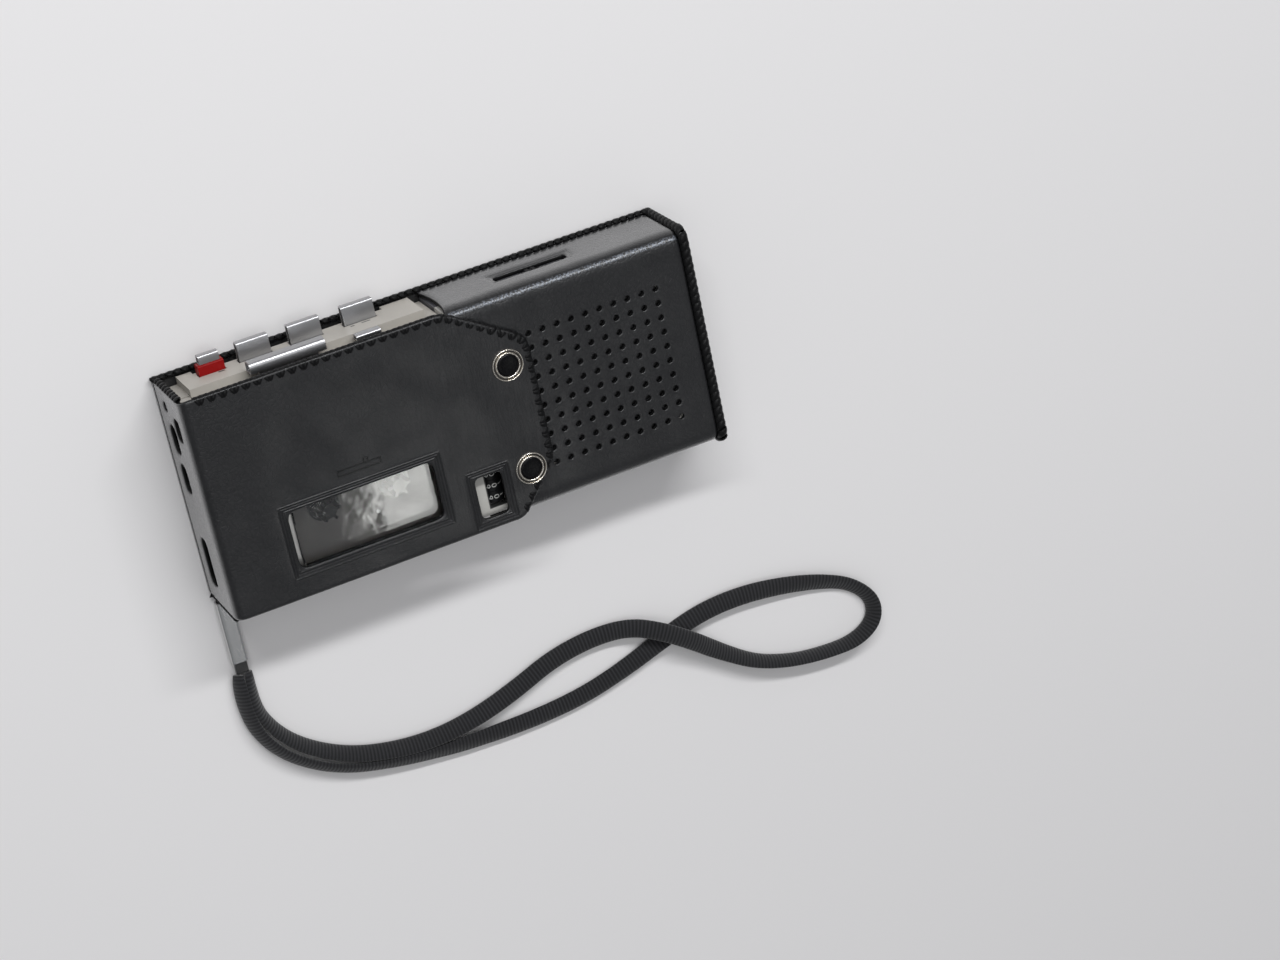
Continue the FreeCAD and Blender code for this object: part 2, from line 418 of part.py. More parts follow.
PLACES = {
    "case_length": "recorder_length + 2*leather + 2*lay_gap + end_ridge",
    "case_width": "recorder_width + 2*leather + 2*lay_gap",
    "lid_right": "window_left + window_length + lid_window_margin + lid_right_rim",
    "deck_bay_length": "lid_right + counter_bay - leather - lay_gap",
    "power_bay_length": "rib_wall/2 + coil_room + cell_length + cell_tip + cell_stop",
    "cell_stop": "shell_wall + contact_sheet + 3*run_gap",
    "recorder_length": "deck_bay_length + power_bay_length",
    "left": "0 - case_length/2",
    "right": "case_length/2",
    "panel_out": "right - end_ridge",
    "lower_side": "bead - (case_width + bead + key_stand)/2",
    "keys_side": "lower_side + case_width",
    "rec_left": "left + leather + lay_gap",
    "rec_right": "rec_left + recorder_length",
    "rec_low": "lower_side + leather + lay_gap",
    "rec_keys": "keys_side - leather - lay_gap",
    "divide": "rec_left + deck_bay_length",
    "in_left": "rec_left + shell_wall",
    "in_right": "rec_right - shell_wall",
    "in_low": "rec_low + shell_wall",
    "in_keys": "rec_keys - shell_wall",
    "rec_back": "leather + lay_gap",
    "rec_front": "rec_back + recorder_thickness",
    "in_back": "rec_back + shell_wall",
    "in_front": "rec_front - shell_wall",
    "split": "rec_back + rear_depth",
    "pocket_in": "rec_front + lay_gap",
    "pocket_out": "pocket_in + leather",
    "flap_in": "pocket_out + lay_gap",
    "flap_out": "flap_in + leather",
    "wall_top": "flap_out - fold_radius",
    "flap_root": "left + fold_radius + run_gap",
    "deck_low": "rec_back + deck_height",
    "deck_top": "deck_low + deck_sheet",
    "deck_right": "divide - rib_wall/2 - lay_gap",
    "ledge": "keys_side - ledge_depth",
    "ledge_in": "ledge - panel_wall",
    "channel_top": "keys_side - channel_depth",
    "bay_right": "left + pocket_mouth + panel_lap",
    "channel_end": "left + pocket_mouth - channel_short",
    "snap_x": "divide - snap_from_divide",
    "flap_end": "snap_x + flap_past_snap",
    "shell_edge": "pocket_radius - leather - lay_gap",
    "spring_seat": "keys_side - stem_end - spring_length - 2*run_gap",
    "reel_y": "keys_side - spindle_from_keys",
    "supply_x": "left + supply_from_left",
    "takeup_x": "supply_x + reel_spacing",
    "capstan_x": "left + capstan_from_left",
    "capstan_y": "keys_side - capstan_from_keys",
    "motor_x": "left + motor_from_left",
    "motor_y": "keys_side - motor_from_keys",
    "flywheel_low": "in_back + flywheel_lift",
    "flywheel_top": "flywheel_low + flywheel_thickness",
    "reel_low": "flywheel_top + reel_gap",
    "reel_top": "deck_low - reel_below_deck",
    "lid_axis_y": "in_low + lay_gap + barrel_radius",
    "lid_axis_z": "rec_front - barrel_radius",
    "lid_low": "rec_front - lid_sheet",
    "table_top": "deck_top + table_lift + table_sheet",
    "belt_low": "flywheel_low + belt_lift",
    "pinch_x": "left + pinch_pivot_from_left",
    "pinch_y": "keys_side - pinch_pivot_from_keys",
    "roller_y": "capstan_y + capstan_radius + pinch_roller_radius + pinch_release",
    "lid_x0": "glass_x0 - lid_left_rim",
    "lid_x1": "glass_x1 + lid_right_rim",
    "lid_y1": "keys_side - lid_from_keys",
    "glass_x0": "left + window_left + lid_window_margin",
    "glass_x1": "left + window_left + window_length + lid_window_margin",
    "glass_y0": "keys_side - window_from_keys - window_width - lid_window_margin",
    "glass_y1": "keys_side - window_from_keys + lid_window_margin",
    "counter_x": "divide - drum_from_divide",
    "counter_z": "rec_front - drum_sink",
    "dial_x0": "divide - dial_from_divide",
    "drums_low": "keys_side - drum_from_keys - 3*(drum_width + drum_gap)",
    "drums_high": "keys_side - drum_from_keys + drum_gap",
    "speaker_x": "right - grid_from_right - hole_pitch*(hole_count - 1)/2",
    "speaker_y": "keys_side - speaker_from_keys",
    "grid_x": "right - grid_from_right - hole_pitch*(hole_count - 1)",
    "grid_y": "keys_side - grid_from_keys - hole_pitch*(hole_count - 1)",
    "grille_y": "keys_side - grid_from_keys - hole_pitch*(hole_count - 1)/2",
    "cell_a_y": "in_low + lay_gap + cell_radius",
    "cell_b_y": "cell_a_y + 2*cell_radius + cell_gap",
    "cell_z": "in_back - shell_gap + cell_radius",
    "cell_x1": "rec_right - cell_stop",
    "cell_x0": "cell_x1 - cell_tip - cell_length",
    "wheel_x": "divide + wheel_from_divide",
    "wheel_y": "rec_keys + wheel_stand - wheel_radius",
    "board_x0": "divide + rib_wall/2 + board_from_divide",
    "board_y1": "in_keys - lay_gap",
    "board_y0": "cell_b_y + cell_radius + 2*lay_gap + shell_gap",
    "door_x0": "divide + door_from_divide",
    "door_x1": "in_right - door_from_right",
    "door_y0": "in_low + door_from_low",
    "door_y1": "board_y0 + shell_gap",
    "strap_x": "left + strap_from_left",
    "clasp_y1": "lower_side - bead - clasp_gap",
    "clasp_y0": "clasp_y1 - clasp_length",
    "sleeve_y0": "clasp_y0 - sleeve_out",
    "clasp_z": "clasp_height/2",
}

SIZE_NAMES = {alias for alias, _, _ in SIZES}

doc = FreeCAD.newDocument("dictation_machine")
sheet = doc.addObject("Spreadsheet::Sheet", "Sizes")
for row, (alias, number, meaning) in enumerate(SIZES, start=1):
    sheet.set(f"A{row}", alias)
    sheet.set(f"B{row}", str(number))
    sheet.set(f"C{row}", meaning)
    sheet.setAlias(f"B{row}", alias)
doc.recompute()


def bound(text):
    """The expression for a text that names sizes and places."""

    def swap(match):
        word = match.group(0)
        if word in PLACES:
            return "(" + bound(PLACES[word]) + ")"
        if word in SIZE_NAMES:
            return "Sizes." + word
        return word

    return re.sub(r"[a-z][a-z_0-9]*", swap, str(text))


def value(text):
    """The number that such a text stands for now."""
    return float(sheet.evalExpression(bound(text)))


def bind(feature, **texts):
    for path, text in texts.items():
        feature.setExpression(path.replace("__", "."), bound(text))


# The axes of a profile's own plane: local X, local Y and the way it is padded
PLANES = {
    "X": (Vector(0, 1, 0), Vector(0, 0, 1), Vector(1, 0, 0)),
    "Y": (Vector(0, 0, 1), Vector(1, 0, 0), Vector(0, 1, 0)),
    "Z": (Vector(1, 0, 0), Vector(0, 1, 0), Vector(0, 0, 1)),
}
AXIS_ORDER = {"X": "yzx", "Y": "zxy", "Z": "xyz"}


def turned(normal):
    """A placement whose Z axis is the named axis."""
    across, up, out = PLANES[normal]
    matrix = Matrix(across.x, up.x, out.x, 0, across.y, up.y, out.y, 0, across.z, up.z, out.z, 0)
    return Placement(matrix)


def origin_plane(body):
    return [f for f in body.Origin.OriginFeatures if f.Role == "XY_Plane"][0]


def new_sketch(body, name):
    sketch = body.newObject("Sketcher::SketchObject", name)
    sketch.AttachmentSupport = (origin_plane(body), [""])
    sketch.MapMode = "FlatFace"
    return sketch


def dimension(sketch, kind, geometry, text):
    """A driving dimension of the sketch, bound to the sheet."""
    index = sketch.addConstraint(Sketcher.Constraint(kind, *geometry, value(text)))
    sketch.setExpression(f"Constraints[{index}]", bound(text))


def rounded_outline(sketch, length, width, radius):
    """A fully constrained rectangle with round corners, from the sketch's origin."""
    across, up, turn = value(length), value(width), value(radius)

    def line(x0, y0, x1, y1):
        return sketch.addGeometry(Part.LineSegment(Vector(x0, y0, 0), Vector(x1, y1, 0)), False)

    def corner(x, y, start):
        circle = Part.Circle(Vector(x, y, 0), Vector(0, 0, 1), turn)
        arc = Part.ArcOfCircle(circle, math.radians(start), math.radians(start + 90))
        return sketch.addGeometry(arc, False)

    ring = [
        line(turn, 0, across - turn, 0),
        corner(across - turn, turn, -90),
        line(across, turn, across, up - turn),
        corner(across - turn, up - turn, 0),
        line(across - turn, up, turn, up),
        corner(turn, up - turn, 90),
        line(0, up - turn, 0, turn),
        corner(turn, turn, 180),
    ]
    for index, edge in enumerate(ring):
        sketch.addConstraint(Sketcher.Constraint("Tangent", edge, 2, ring[(index + 1) % 8], 1))
    bottom, first_arc, east, _, top, _, west, _ = ring
    for edge in (bottom, top):
        sketch.addConstraint(Sketcher.Constraint("Horizontal", edge))
    for edge in (east, west):
        sketch.addConstraint(Sketcher.Constraint("Vertical", edge))
    for arc in (ring[3], ring[5], ring[7]):
        sketch.addConstraint(Sketcher.Constraint("Equal", first_arc, arc))
    sketch.addConstraint(Sketcher.Constraint("PointOnObject", bottom, 1, -1))
    sketch.addConstraint(Sketcher.Constraint("PointOnObject", west, 1, -2))
    dimension(sketch, "Radius", (first_arc,), radius)
    dimension(sketch, "DistanceX", (west, 1, east, 1), length)
    dimension(sketch, "DistanceY", (bottom, 1, top, 1), width)


def slab(name, normal, a0, a1, b0, b1, c0, c1, radius):
    """A plate with rounded corners. a and b are its two directions in the order
    of the axes after the normal, and c runs along the normal."""
    body = doc.addObject("PartDesign::Body", name)
    sketch = new_sketch(body, name + "_outline")
    rounded_outline(sketch, f"({a1}) - ({a0})", f"({b1}) - ({b0})", radius)
    pad = body.newObject("PartDesign::Pad", name + "_pad")
    pad.Profile = sketch
    bind(pad, Length=f"({c1}) - ({c0})")
    body.Placement = turned(normal)
    for letter, text in zip(AXIS_ORDER[normal], (a0, b0, c0)):
        body.setExpression(f"Placement.Base.{letter}", bound(text))
    doc.recompute()
    return body


def outline_plate(name, low_x, low_y, corners, z0, z1, rounds=()):
    """A flat plate whose outline runs through corners given as pairs of texts.
    Its sketch is measured from low_x, low_y, a spot below and left of them all, and
    rounds lists (corner number, radius) for the corners that are rounded."""
    body = doc.addObject("PartDesign::Body", name)
    sketch = new_sketch(body, name + "_outline")
    local = [(f"({x}) - ({low_x})", f"({y}) - ({low_y})") for x, y in corners]
    points = [Vector(value(x), value(y), 0) for x, y in local]
    count = len(points)
    for index in range(count):
        edge = Part.LineSegment(points[index], points[(index + 1) % count])
        sketch.addGeometry(edge, False)
    for index in range(count):
        sketch.addConstraint(Sketcher.Constraint("Coincident", index, 2, (index + 1) % count, 1))
    for index in range(count):
        dimension(sketch, "DistanceX", (-1, 1, index, 1), local[index][0])
        dimension(sketch, "DistanceY", (-1, 1, index, 1), local[index][1])
    pad = body.newObject("PartDesign::Pad", name + "_pad")
    pad.Profile = sketch
    bind(pad, Length=f"({z1}) - ({z0})")
    bind(body, Placement__Base__x=low_x, Placement__Base__y=low_y, Placement__Base__z=z0)
    doc.recompute()
    base = pad
    for number, radius in rounds:
        spot = points[number]
        edges = [
            f"Edge{index}"
            for index, edge in enumerate(base.Shape.Edges, start=1)
            if all(abs(v.X - spot.x) + abs(v.Y - spot.y) < 0.001 for v in edge.Vertexes)
        ]
        fillet = body.newObject("PartDesign::Fillet", f"{name}_round_{number}")
        fillet.Base = (base, edges)
        bind(fillet, Radius=radius)
        doc.recompute()
        base = fillet
    return body


def box(name, x0, x1, y0, y1, z0, z1):
    piece = doc.addObject("Part::Box", name)
    bind(
        piece,
        Length=f"({x1}) - ({x0})",
        Width=f"({y1}) - ({y0})",
        Height=f"({z1}) - ({z0})",
        Placement__Base__x=x0,
        Placement__Base__y=y0,
        Placement__Base__z=z0,
    )
    return piece


def rod(name, normal, a, b, c0, c1, radius):
    """A round bar along the named axis, through the point a, b of its plane."""
    piece = doc.addObject("Part::Cylinder", name)
    piece.Placement = turned(normal)
    bind(piece, Radius=radius, Height=f"({c1}) - ({c0})")
    for letter, text in zip(AXIS_ORDER[normal], (a, b, c0)):
        piece.setExpression(f"Placement.Base.{letter}", bound(text))
    return piece


def fuse(name, pieces):
    whole = doc.addObject("Part::MultiFuse", name)
    whole.Shapes = pieces
    return whole


def cut(name, base, tools):
    piece = doc.addObject("Part::Cut", name)
    piece.Base = base
    piece.Tool = tools[0] if len(tools) == 1 else fuse(name + "_tools", tools)
    return piece


def common(name, first, second):
    piece = doc.addObject("Part::Common", name)
    piece.Base = first
    piece.Tool = second
    return piece


def group(name, pieces):
    """Several separate solids that share one node."""
    whole = doc.addObject("Part::Compound", name)
    whole.Links = pieces
    return whole


def ring(name, normal, a, b, c0, c1, outer, inner):
    tube = rod(name + "_outer", normal, a, b, c0, c1, outer)
    bore = rod(name + "_bore", normal, a, b, f"({c0}) - 1", f"({c1}) + 1", inner)
    return cut(name, tube, [bore])


parts = {}

# Carrying case


def oval_port(name, from_keys, level, length, height):
    """A cutter for an oval opening through the case's left wall."""
    return slab(
        name, "X",
        f"keys_side - {from_keys} - ({length})/2", f"keys_side - {from_keys} + ({length})/2",
        f"{level} - ({height})/2", f"{level} + ({height})/2",
        "left - 1", "left + leather + 1", f"({height})*0.49",
    )


def make_case():
    parts["case_back_panel"] = slab(
        "case_back_panel", "Z", "left", "panel_out", "lower_side", "keys_side", "0", "leather", "1",
    )

    wall = slab(
        "left_wall_blank", "X", "lower_side", "keys_side", "leather", "wall_top",
        "left", "left + leather", "0.4",
    )
    ports = [
        oval_port("mic_port", "mic_port_from_keys", "port_level", "small_port", "port_height"),
        oval_port("ear_port", "ear_port_from_keys", "port_level", "small_port", "port_height"),
        oval_port("dc_port", "dc_port_from_keys", "port_level", "large_port", "port_height"),
        oval_port(
            "voice_port", "mic_from_keys", "mic_level", "voice_port_length", "voice_port_height",
        ),
        oval_port(
            "peep_hole", "peep_from_keys", "port_level - peep_drop", "peep_length", "peep_height",
        ),
    ]
    rim_length = "(voice_port_length + 2*voice_rim)"
    rim_height = "(voice_port_height + 2*voice_rim)"
    rim = oval_port("voice_rim", "mic_from_keys", "mic_level", rim_length, rim_height)
    round_rim = slab(
        "voice_groove_outline", "X",
        f"keys_side - mic_from_keys - {rim_length}/2 - voice_groove",
        f"keys_side - mic_from_keys + {rim_length}/2 + voice_groove",
        f"mic_level - {rim_height}/2 - voice_groove", f"mic_level + {rim_height}/2 + voice_groove",
        "left - 1", "left + voice_groove_depth", f"{rim_height}/2",
    )
    groove = cut("voice_groove_ring", round_rim, [rim])
    parts["case_left_wall"] = cut("case_left_wall", wall, ports + [groove])

    # The pocket wraps over the loudspeaker end: a rounded shell without its floor, with
    # a notch under the flap where the counter shows
    outer = slab(
        "pocket_outer", "X", "lower_side", "keys_side", "0 - pocket_radius", "pocket_out",
        "left + pocket_mouth", "panel_out - leather", "pocket_radius",
    )
    inner = slab(
        "pocket_inner", "X", "lower_side + leather", "keys_side - leather",
        "0 - pocket_radius", "pocket_in",
        "left + pocket_mouth - 1", "panel_out", "pocket_radius - leather",
    )
    below = box(
        "pocket_below", "left", "right", "lower_side - 1", "keys_side + 1",
        "0 - pocket_radius - 1", "leather",
    )
    scoop = rod(
        "pocket_scoop", "Y", "split", "left + pocket_mouth + scoop_depth - mouth_scoop",
        "lower_side - 1", "keys_side + 1", "mouth_scoop",
    )
    slot = slab(
        "wheel_slot", "Y", "wheel_level - slot_height/2", "wheel_level + slot_height/2",
        "wheel_x - slot_length/2", "wheel_x + slot_length/2",
        "keys_side - leather - 0.5", "keys_side + 1", "slot_height*0.4",
    )
    notch = slab(
        "counter_notch", "Z", "left + pocket_mouth - 3*notch_round",
        "dial_x0 + dial_length + notch_margin", "lower_side - 2*notch_round",
        "keys_side - dial_from_keys + notch_margin", "leather", "pocket_out + 1", "notch_round",
    )
    slot_frame = slab(
        "wheel_slot_frame", "Y", "wheel_level - slot_height/2 - slot_frame_side",
        "wheel_level + slot_height/2 + slot_frame_side",
        "wheel_x - slot_length/2 - slot_frame", "wheel_x + slot_length/2 + slot_frame",
        "keys_side - slot_frame_depth", "keys_side + 1", "slot_frame_side",
    )
    pocket = cut("pocket_plain", outer, [inner, below, scoop, slot, slot_frame, notch])
    parts["case_pocket"] = cut("case_pocket", pocket, [perforations()])

    panel = slab(
        "right_panel_blank", "X", "lower_side", "keys_side", "0 - pocket_radius", "pocket_out",
        "panel_out - leather", "panel_out", "pocket_radius",
    )
    panel_below = box(
        "right_panel_below", "left", "right + 1", "lower_side - 1", "keys_side + 1",
        "0 - pocket_radius - 1", "leather",
    )
    parts["case_right_panel"] = cut("case_right_panel", panel, [panel_below])
    parts["case_binding"] = make_binding()


def perforations():
    """The square grid of holes over the loudspeaker, as pins to cut with."""
    body = doc.addObject("PartDesign::Body", "perforation_pins")
    sketch = new_sketch(body, "perforation_sketch")
    circle = Part.Circle(Vector(0, 0, 0), Vector(0, 0, 1), value("hole_radius"))
    hole = sketch.addGeometry(circle, False)
    dimension(sketch, "Radius", (hole,), "hole_radius")
    sketch.addConstraint(Sketcher.Constraint("Coincident", hole, 3, -1, 1))
    pin = body.newObject("PartDesign::Pad", "perforation_pin")
    pin.Profile = sketch
    bind(pin, Length="leather + 2")
    doc.recompute()
    grid = body.newObject("PartDesign::LinearPattern", "perforation_grid")
    grid.Originals = [pin]
    grid.Direction = (sketch, ["H_Axis"])
    grid.Direction2 = (sketch, ["V_Axis"])
    grid.Mode = "Extent"
    grid.Mode2 = "Extent"
    span = "hole_pitch*(hole_count - 1)"
    bind(grid, Length=span, Length2=span, Occurrences="hole_count", Occurrences2="hole_count")
    body.Tip = grid
    bind(
        body,
        Placement__Base__x="grid_x",
        Placement__Base__y="grid_y",
        Placement__Base__z="pocket_in - 1",
    )
    return body


def make_binding():
    """The laced edges: round the right end, and along the back and left edges."""
    outer = slab(
        "seam_outer", "X", "lower_side - bead", "keys_side + bead",
        "0 - pocket_radius", "pocket_out + bead",
        "panel_out", "right", "pocket_radius",
    )
    inner = slab(
        "seam_inner", "X", "lower_side - bead + seam_band", "keys_side + bead - seam_band",
        "0 - pocket_radius", "pocket_out + bead - seam_band",
        "panel_out - 1", "right + 1", "pocket_radius*0.6",
    )
    below = box(
        "seam_below", "left", "right + 1", "lower_side - bead - 1", "keys_side + bead + 1",
        "0 - pocket_radius - 1", "0",
    )
    hoop = cut("seam_hoop", outer, [inner, below])
    foot = box(
        "seam_foot", "panel_out", "right", "lower_side - bead", "keys_side + bead",
        "0", "bead_height",
    )
    strips = [hoop, foot]
    for side, y0, y1 in (
        ("keys", "keys_side", "keys_side + bead"),
        ("low", "lower_side - bead", "lower_side"),
    ):
        strips.append(box(f"back_edge_{side}", "left", "panel_out", y0, y1, "0", "bead_height"))
        strips.append(
            box(f"left_edge_{side}", "left", "left + bead_height", y0, y1, "0", "wall_top")
        )
    return fuse("case_binding", strips)


def flap_window(name, x0, x1, y0, y1):
    """Cutters for one window of the flap: the hole and its pressed frame."""
    hole = slab(name + "_hole", "Z", x0, x1, y0, y1, "flap_in - 1", "flap_out + 1", "window_corner")
    frame = slab(
        name + "_frame", "Z",
        f"{x0} - emboss_width", f"{x1} + emboss_width",
        f"{y0} - emboss_width", f"{y1} + emboss_width",
        "flap_out - emboss_depth", "flap_out + 1", "window_corner + emboss_width",
    )
    return [hole, frame]


def make_flap():
    fold = doc.addObject("Part::Cylinder", "fold_outer")
    fold.Angle = 90
    core = doc.addObject("Part::Cylinder", "fold_core")
    core.Angle = 90
    for piece, radius, extra in ((fold, "fold_radius", "0"), (core, "fold_radius - leather", "1")):
        piece.Placement = Placement(Matrix(-1, 0, 0, 0, 0, 0, 1, 0, 0, 1, 0, 0))
        bind(
            piece,
            Radius=radius,
            Height=f"case_width + 2*{extra}",
            Placement__Base__x="left + fold_radius",
            Placement__Base__y=f"lower_side - {extra}",
            Placement__Base__z="wall_top",
        )
    parts["flap_fold"] = cut("flap_fold", fold, [core])

    # The outline starts at the lower left corner and runs round by the free edge
    corners = [
        ("flap_root", "lower_side"),
        ("flap_end - flap_lower_slant", "lower_side"),
        ("flap_end", "keys_side - flap_lower_cut"),
        ("flap_end", "keys_side - flap_upper_cut"),
        ("flap_end - flap_upper_slant", "keys_side + flap_overhang"),
        ("flap_root", "keys_side + flap_overhang"),
    ]
    rounds = [(1, "flap_round*0.8"), (2, "flap_round"), (3, "flap_round"), (4, "flap_round*1.6")]
    plain = outline_plate(
        "flap_plain", "left", "lower_side - 1", corners, "flap_in", "flap_out", rounds,
    )
    bump = slab(
        "flap_bump", "Z",
        "left + bump_from_left - bump_length/2", "left + bump_from_left + bump_length/2",
        "keys_side - bump_from_keys - bump_width/2", "keys_side - bump_from_keys + bump_width/2",
        "flap_out - leather/2", "flap_out + bump_height", "bump_width*0.48",
    )
    cutters = flap_window(
        "cassette_window",
        "left + window_left", "left + window_left + window_length",
        "keys_side - window_from_keys - window_width", "keys_side - window_from_keys",
    )
    cutters += flap_window(
        "counter_window",
        "dial_x0", "dial_x0 + dial_length",
        "keys_side - dial_from_keys - dial_width", "keys_side - dial_from_keys",
    )
    for letter in "ab":
        cutters.append(
            rod(
                f"socket_hole_{letter}", "Z", "snap_x",
                f"keys_side - snap_{letter}_from_keys", "flap_in - 1", "flap_out + 1",
                "socket_radius",
            )
        )
    parts["case_flap"] = cut("case_flap", fuse("flap_bumped", [plain, bump]), cutters)


def make_snaps():
    rings = []
    caps = []
    studs = []
    for letter in "ab":
        x, y = "snap_x", f"keys_side - snap_{letter}_from_keys"
        torus = doc.addObject("Part::Torus", f"snap_torus_{letter}")
        bind(
            torus,
            Radius1="snap_ring_radius",
            Radius2="snap_ring_tube",
            Placement__Base__x=x,
            Placement__Base__y=y,
            Placement__Base__z="flap_out",
        )
        upper = rod(f"snap_upper_{letter}", "Z", x, y, "flap_out", "flap_out + 3", "2*snap_ring_radius")
        rings.append(common(f"snap_ring_{letter}", torus, upper))
        ball = doc.addObject("Part::Sphere", f"snap_ball_{letter}")
        bind(
            ball,
            Radius="snap_dome_radius",
            Placement__Base__x=x,
            Placement__Base__y=y,
            Placement__Base__z="flap_out + snap_dome_height - snap_dome_radius",
        )
        eye = "snap_ring_radius - snap_ring_tube - run_gap"
        above = rod(f"snap_above_{letter}", "Z", x, y, "flap_out", "flap_out + 3", eye)
        dome = common(f"snap_dome_{letter}", ball, above)
        plug = rod(f"socket_plug_{letter}", "Z", x, y, "flap_in", "flap_out", "socket_radius")
        room = rod(
            f"socket_room_{letter}", "Z", x, y, "flap_in - 1", "flap_in + stud_height",
            "stud_radius + stud_room",
        )
        caps.append(cut(f"snap_cap_{letter}", fuse(f"cap_solid_{letter}", [dome, plug]), [room]))
        base = rod(f"stud_base_{letter}", "Z", x, y, "pocket_out", "pocket_out + stud_base_sheet",
                   "stud_base_radius")
        post = rod(
            f"stud_post_{letter}", "Z", x, y, "pocket_out", "pocket_out + stud_height",
            "stud_radius",
        )
        studs.append(fuse(f"snap_stud_{letter}", [base, post]))
    parts["snap_rings"] = group("snap_rings", rings)
    parts["snap_caps"] = group("snap_caps", caps)
    parts["snap_studs"] = group("snap_studs", studs)


# Wrist strap

# Middle of each strand's route on the floor, as X, Y and height, from the sleeve
# round the loop and back to the sleeve. The points keep clear of the case.
STRAP_ROUTE = [
    (-71.5, -60.9, 1.6), (-71.4, -70.2, 1.6), (-68.2, -80.0, 1.6), (-61.0, -88.6, 1.6),
    (-49.6, -95.4, 1.6), (-36.0, -99.8, 1.6), (-22.4, -101.6, 1.6), (-9.2, -100.4, 1.6),
    (3.2, -96.2, 1.6), (16.0, -90.6, 1.6), (28.0, -88.6, 1.6), (38.4, -91.0, 2.0),
    (47.6, -95.6, 7.6), (56.6, -101.8, 7.6), (66.4, -108.6, 2.0), (78.4, -116.0, 1.6),
    (90.0, -121.6, 1.6), (101.4, -124.0, 1.6), (111.6, -122.8, 1.6), (118.9, -117.0, 1.6),
    (120.8, -108.4, 1.6), (115.6, -101.2, 1.6), (106.4, -97.4, 1.6), (92.6, -95.0, 1.6),
    (78.0, -94.4, 1.6),
    (64.2, -96.0, 1.6), (51.0, -99.6, 1.6), (37.8, -104.0, 1.6), (23.8, -107.4, 1.6),
    (8.8, -108.4, 1.6), (-6.6, -107.2, 1.6), (-22.2, -105.2, 1.6), (-37.0, -103.2, 1.6),
    (-51.2, -98.6, 1.6), (-63.4, -91.4, 1.6), (-71.3, -82.0, 1.6), (-74.9, -71.0, 1.6),
    (-74.9, -60.9, 1.6),
]


def round_route(points):
    """A wire of straight runs joined by arcs, and the radius of each arc."""
    share = 0.45
    edges = []
    radii = []
    start = points[0]
    for index in range(1, len(points) - 1):
        before, here, after = points[index - 1], points[index], points[index + 1]
        back = (before - here).normalize()
        ahead = (after - here).normalize()
        reach = share * min((before - here).Length, (after - here).Length)
        half_turn = (math.pi - back.getAngle(ahead)) / 2
        radius = reach / math.tan(half_turn)
        bisector = (back + ahead).normalize()
        first = here + back * reach
        last = here + ahead * reach
        middle = here + bisector * (radius / math.cos(half_turn) - radius)
        edges.append(Part.LineSegment(start, first).toShape())
        edges.append(Part.Arc(first, middle, last).toShape())
        radii.append(radius)
        start = last
    edges.append(Part.LineSegment(start, points[-1]).toShape())
    return Part.Wire(edges), radii


def make_strap():
    tab = box(
        "strap_tab_blank", "strap_x - tab_width/2", "strap_x + tab_width/2",
        "clasp_y1 - tab_tuck", "lower_side - bead", "clasp_z - tab_sheet/2", "clasp_z + tab_sheet/2",
    )
    parts["strap_tab"] = tab
    shell = slab(
        "clasp_shell", "Y", "0", "clasp_height", "strap_x - clasp_width/2",
        "strap_x + clasp_width/2", "clasp_y0", "clasp_y1", "clasp_round",
    )
    hollow = slab(
        "clasp_hollow", "Y", "clasp_sheet", "clasp_height - clasp_sheet",
        "strap_x - clasp_width/2 + clasp_sheet", "strap_x + clasp_width/2 - clasp_sheet",
        "clasp_y0 - 1", "clasp_y1 + 1", "clasp_round - clasp_sheet + 2*run_gap",
    )
    seam = box(
        "clasp_seam", "strap_x - clasp_split/2", "strap_x + clasp_split/2", "clasp_y0 - 1", "clasp_y1 + 1",
        "0 - 1", "clasp_z",
    )
    parts["strap_clasp"] = cut("strap_clasp", shell, [hollow, seam])
    parts["strap_sleeve"] = slab(
        "strap_sleeve", "Y", "clasp_sheet + sleeve_fit", "clasp_height - clasp_sheet - sleeve_fit",
        "strap_x - clasp_width/2 + clasp_sheet + sleeve_fit",
        "strap_x + clasp_width/2 - clasp_sheet - sleeve_fit",
        "sleeve_y0", "sleeve_y0 + sleeve_length", "clasp_round - clasp_sheet",
    )

    # The route's two ends follow the sleeve; the points between stay as chosen
    points = [Vector(*spot) for spot in STRAP_ROUTE]
    for index, sign in ((0, 1), (-1, -1)):
        points[index].x = value("strap_x") + sign * value("strap_spread") / 2
        points[index].y = value("sleeve_y0")
    path, radii = round_route(points)
    tangent = (points[1] - points[0]).normalize()
    section = Part.Wire(Part.Circle(points[0], tangent, value("strap_radius")).toShape())
    tube = path.makePipeShell([section], True, False)
    strap = doc.addObject("Part::Feature", "wrist_strap")
    strap.Shape = tube
    parts["wrist_strap"] = strap
    ideal = math.pi * value("strap_radius") ** 2 * path.Length
    print(f"strap: {path.Length:.1f} mm long, tube {tube.Volume:.0f} of {ideal:.0f} mm3")
    print("strap arc radii: " + " ".join(f"{radius:.0f}" for radius in radii))


# Recorder shells

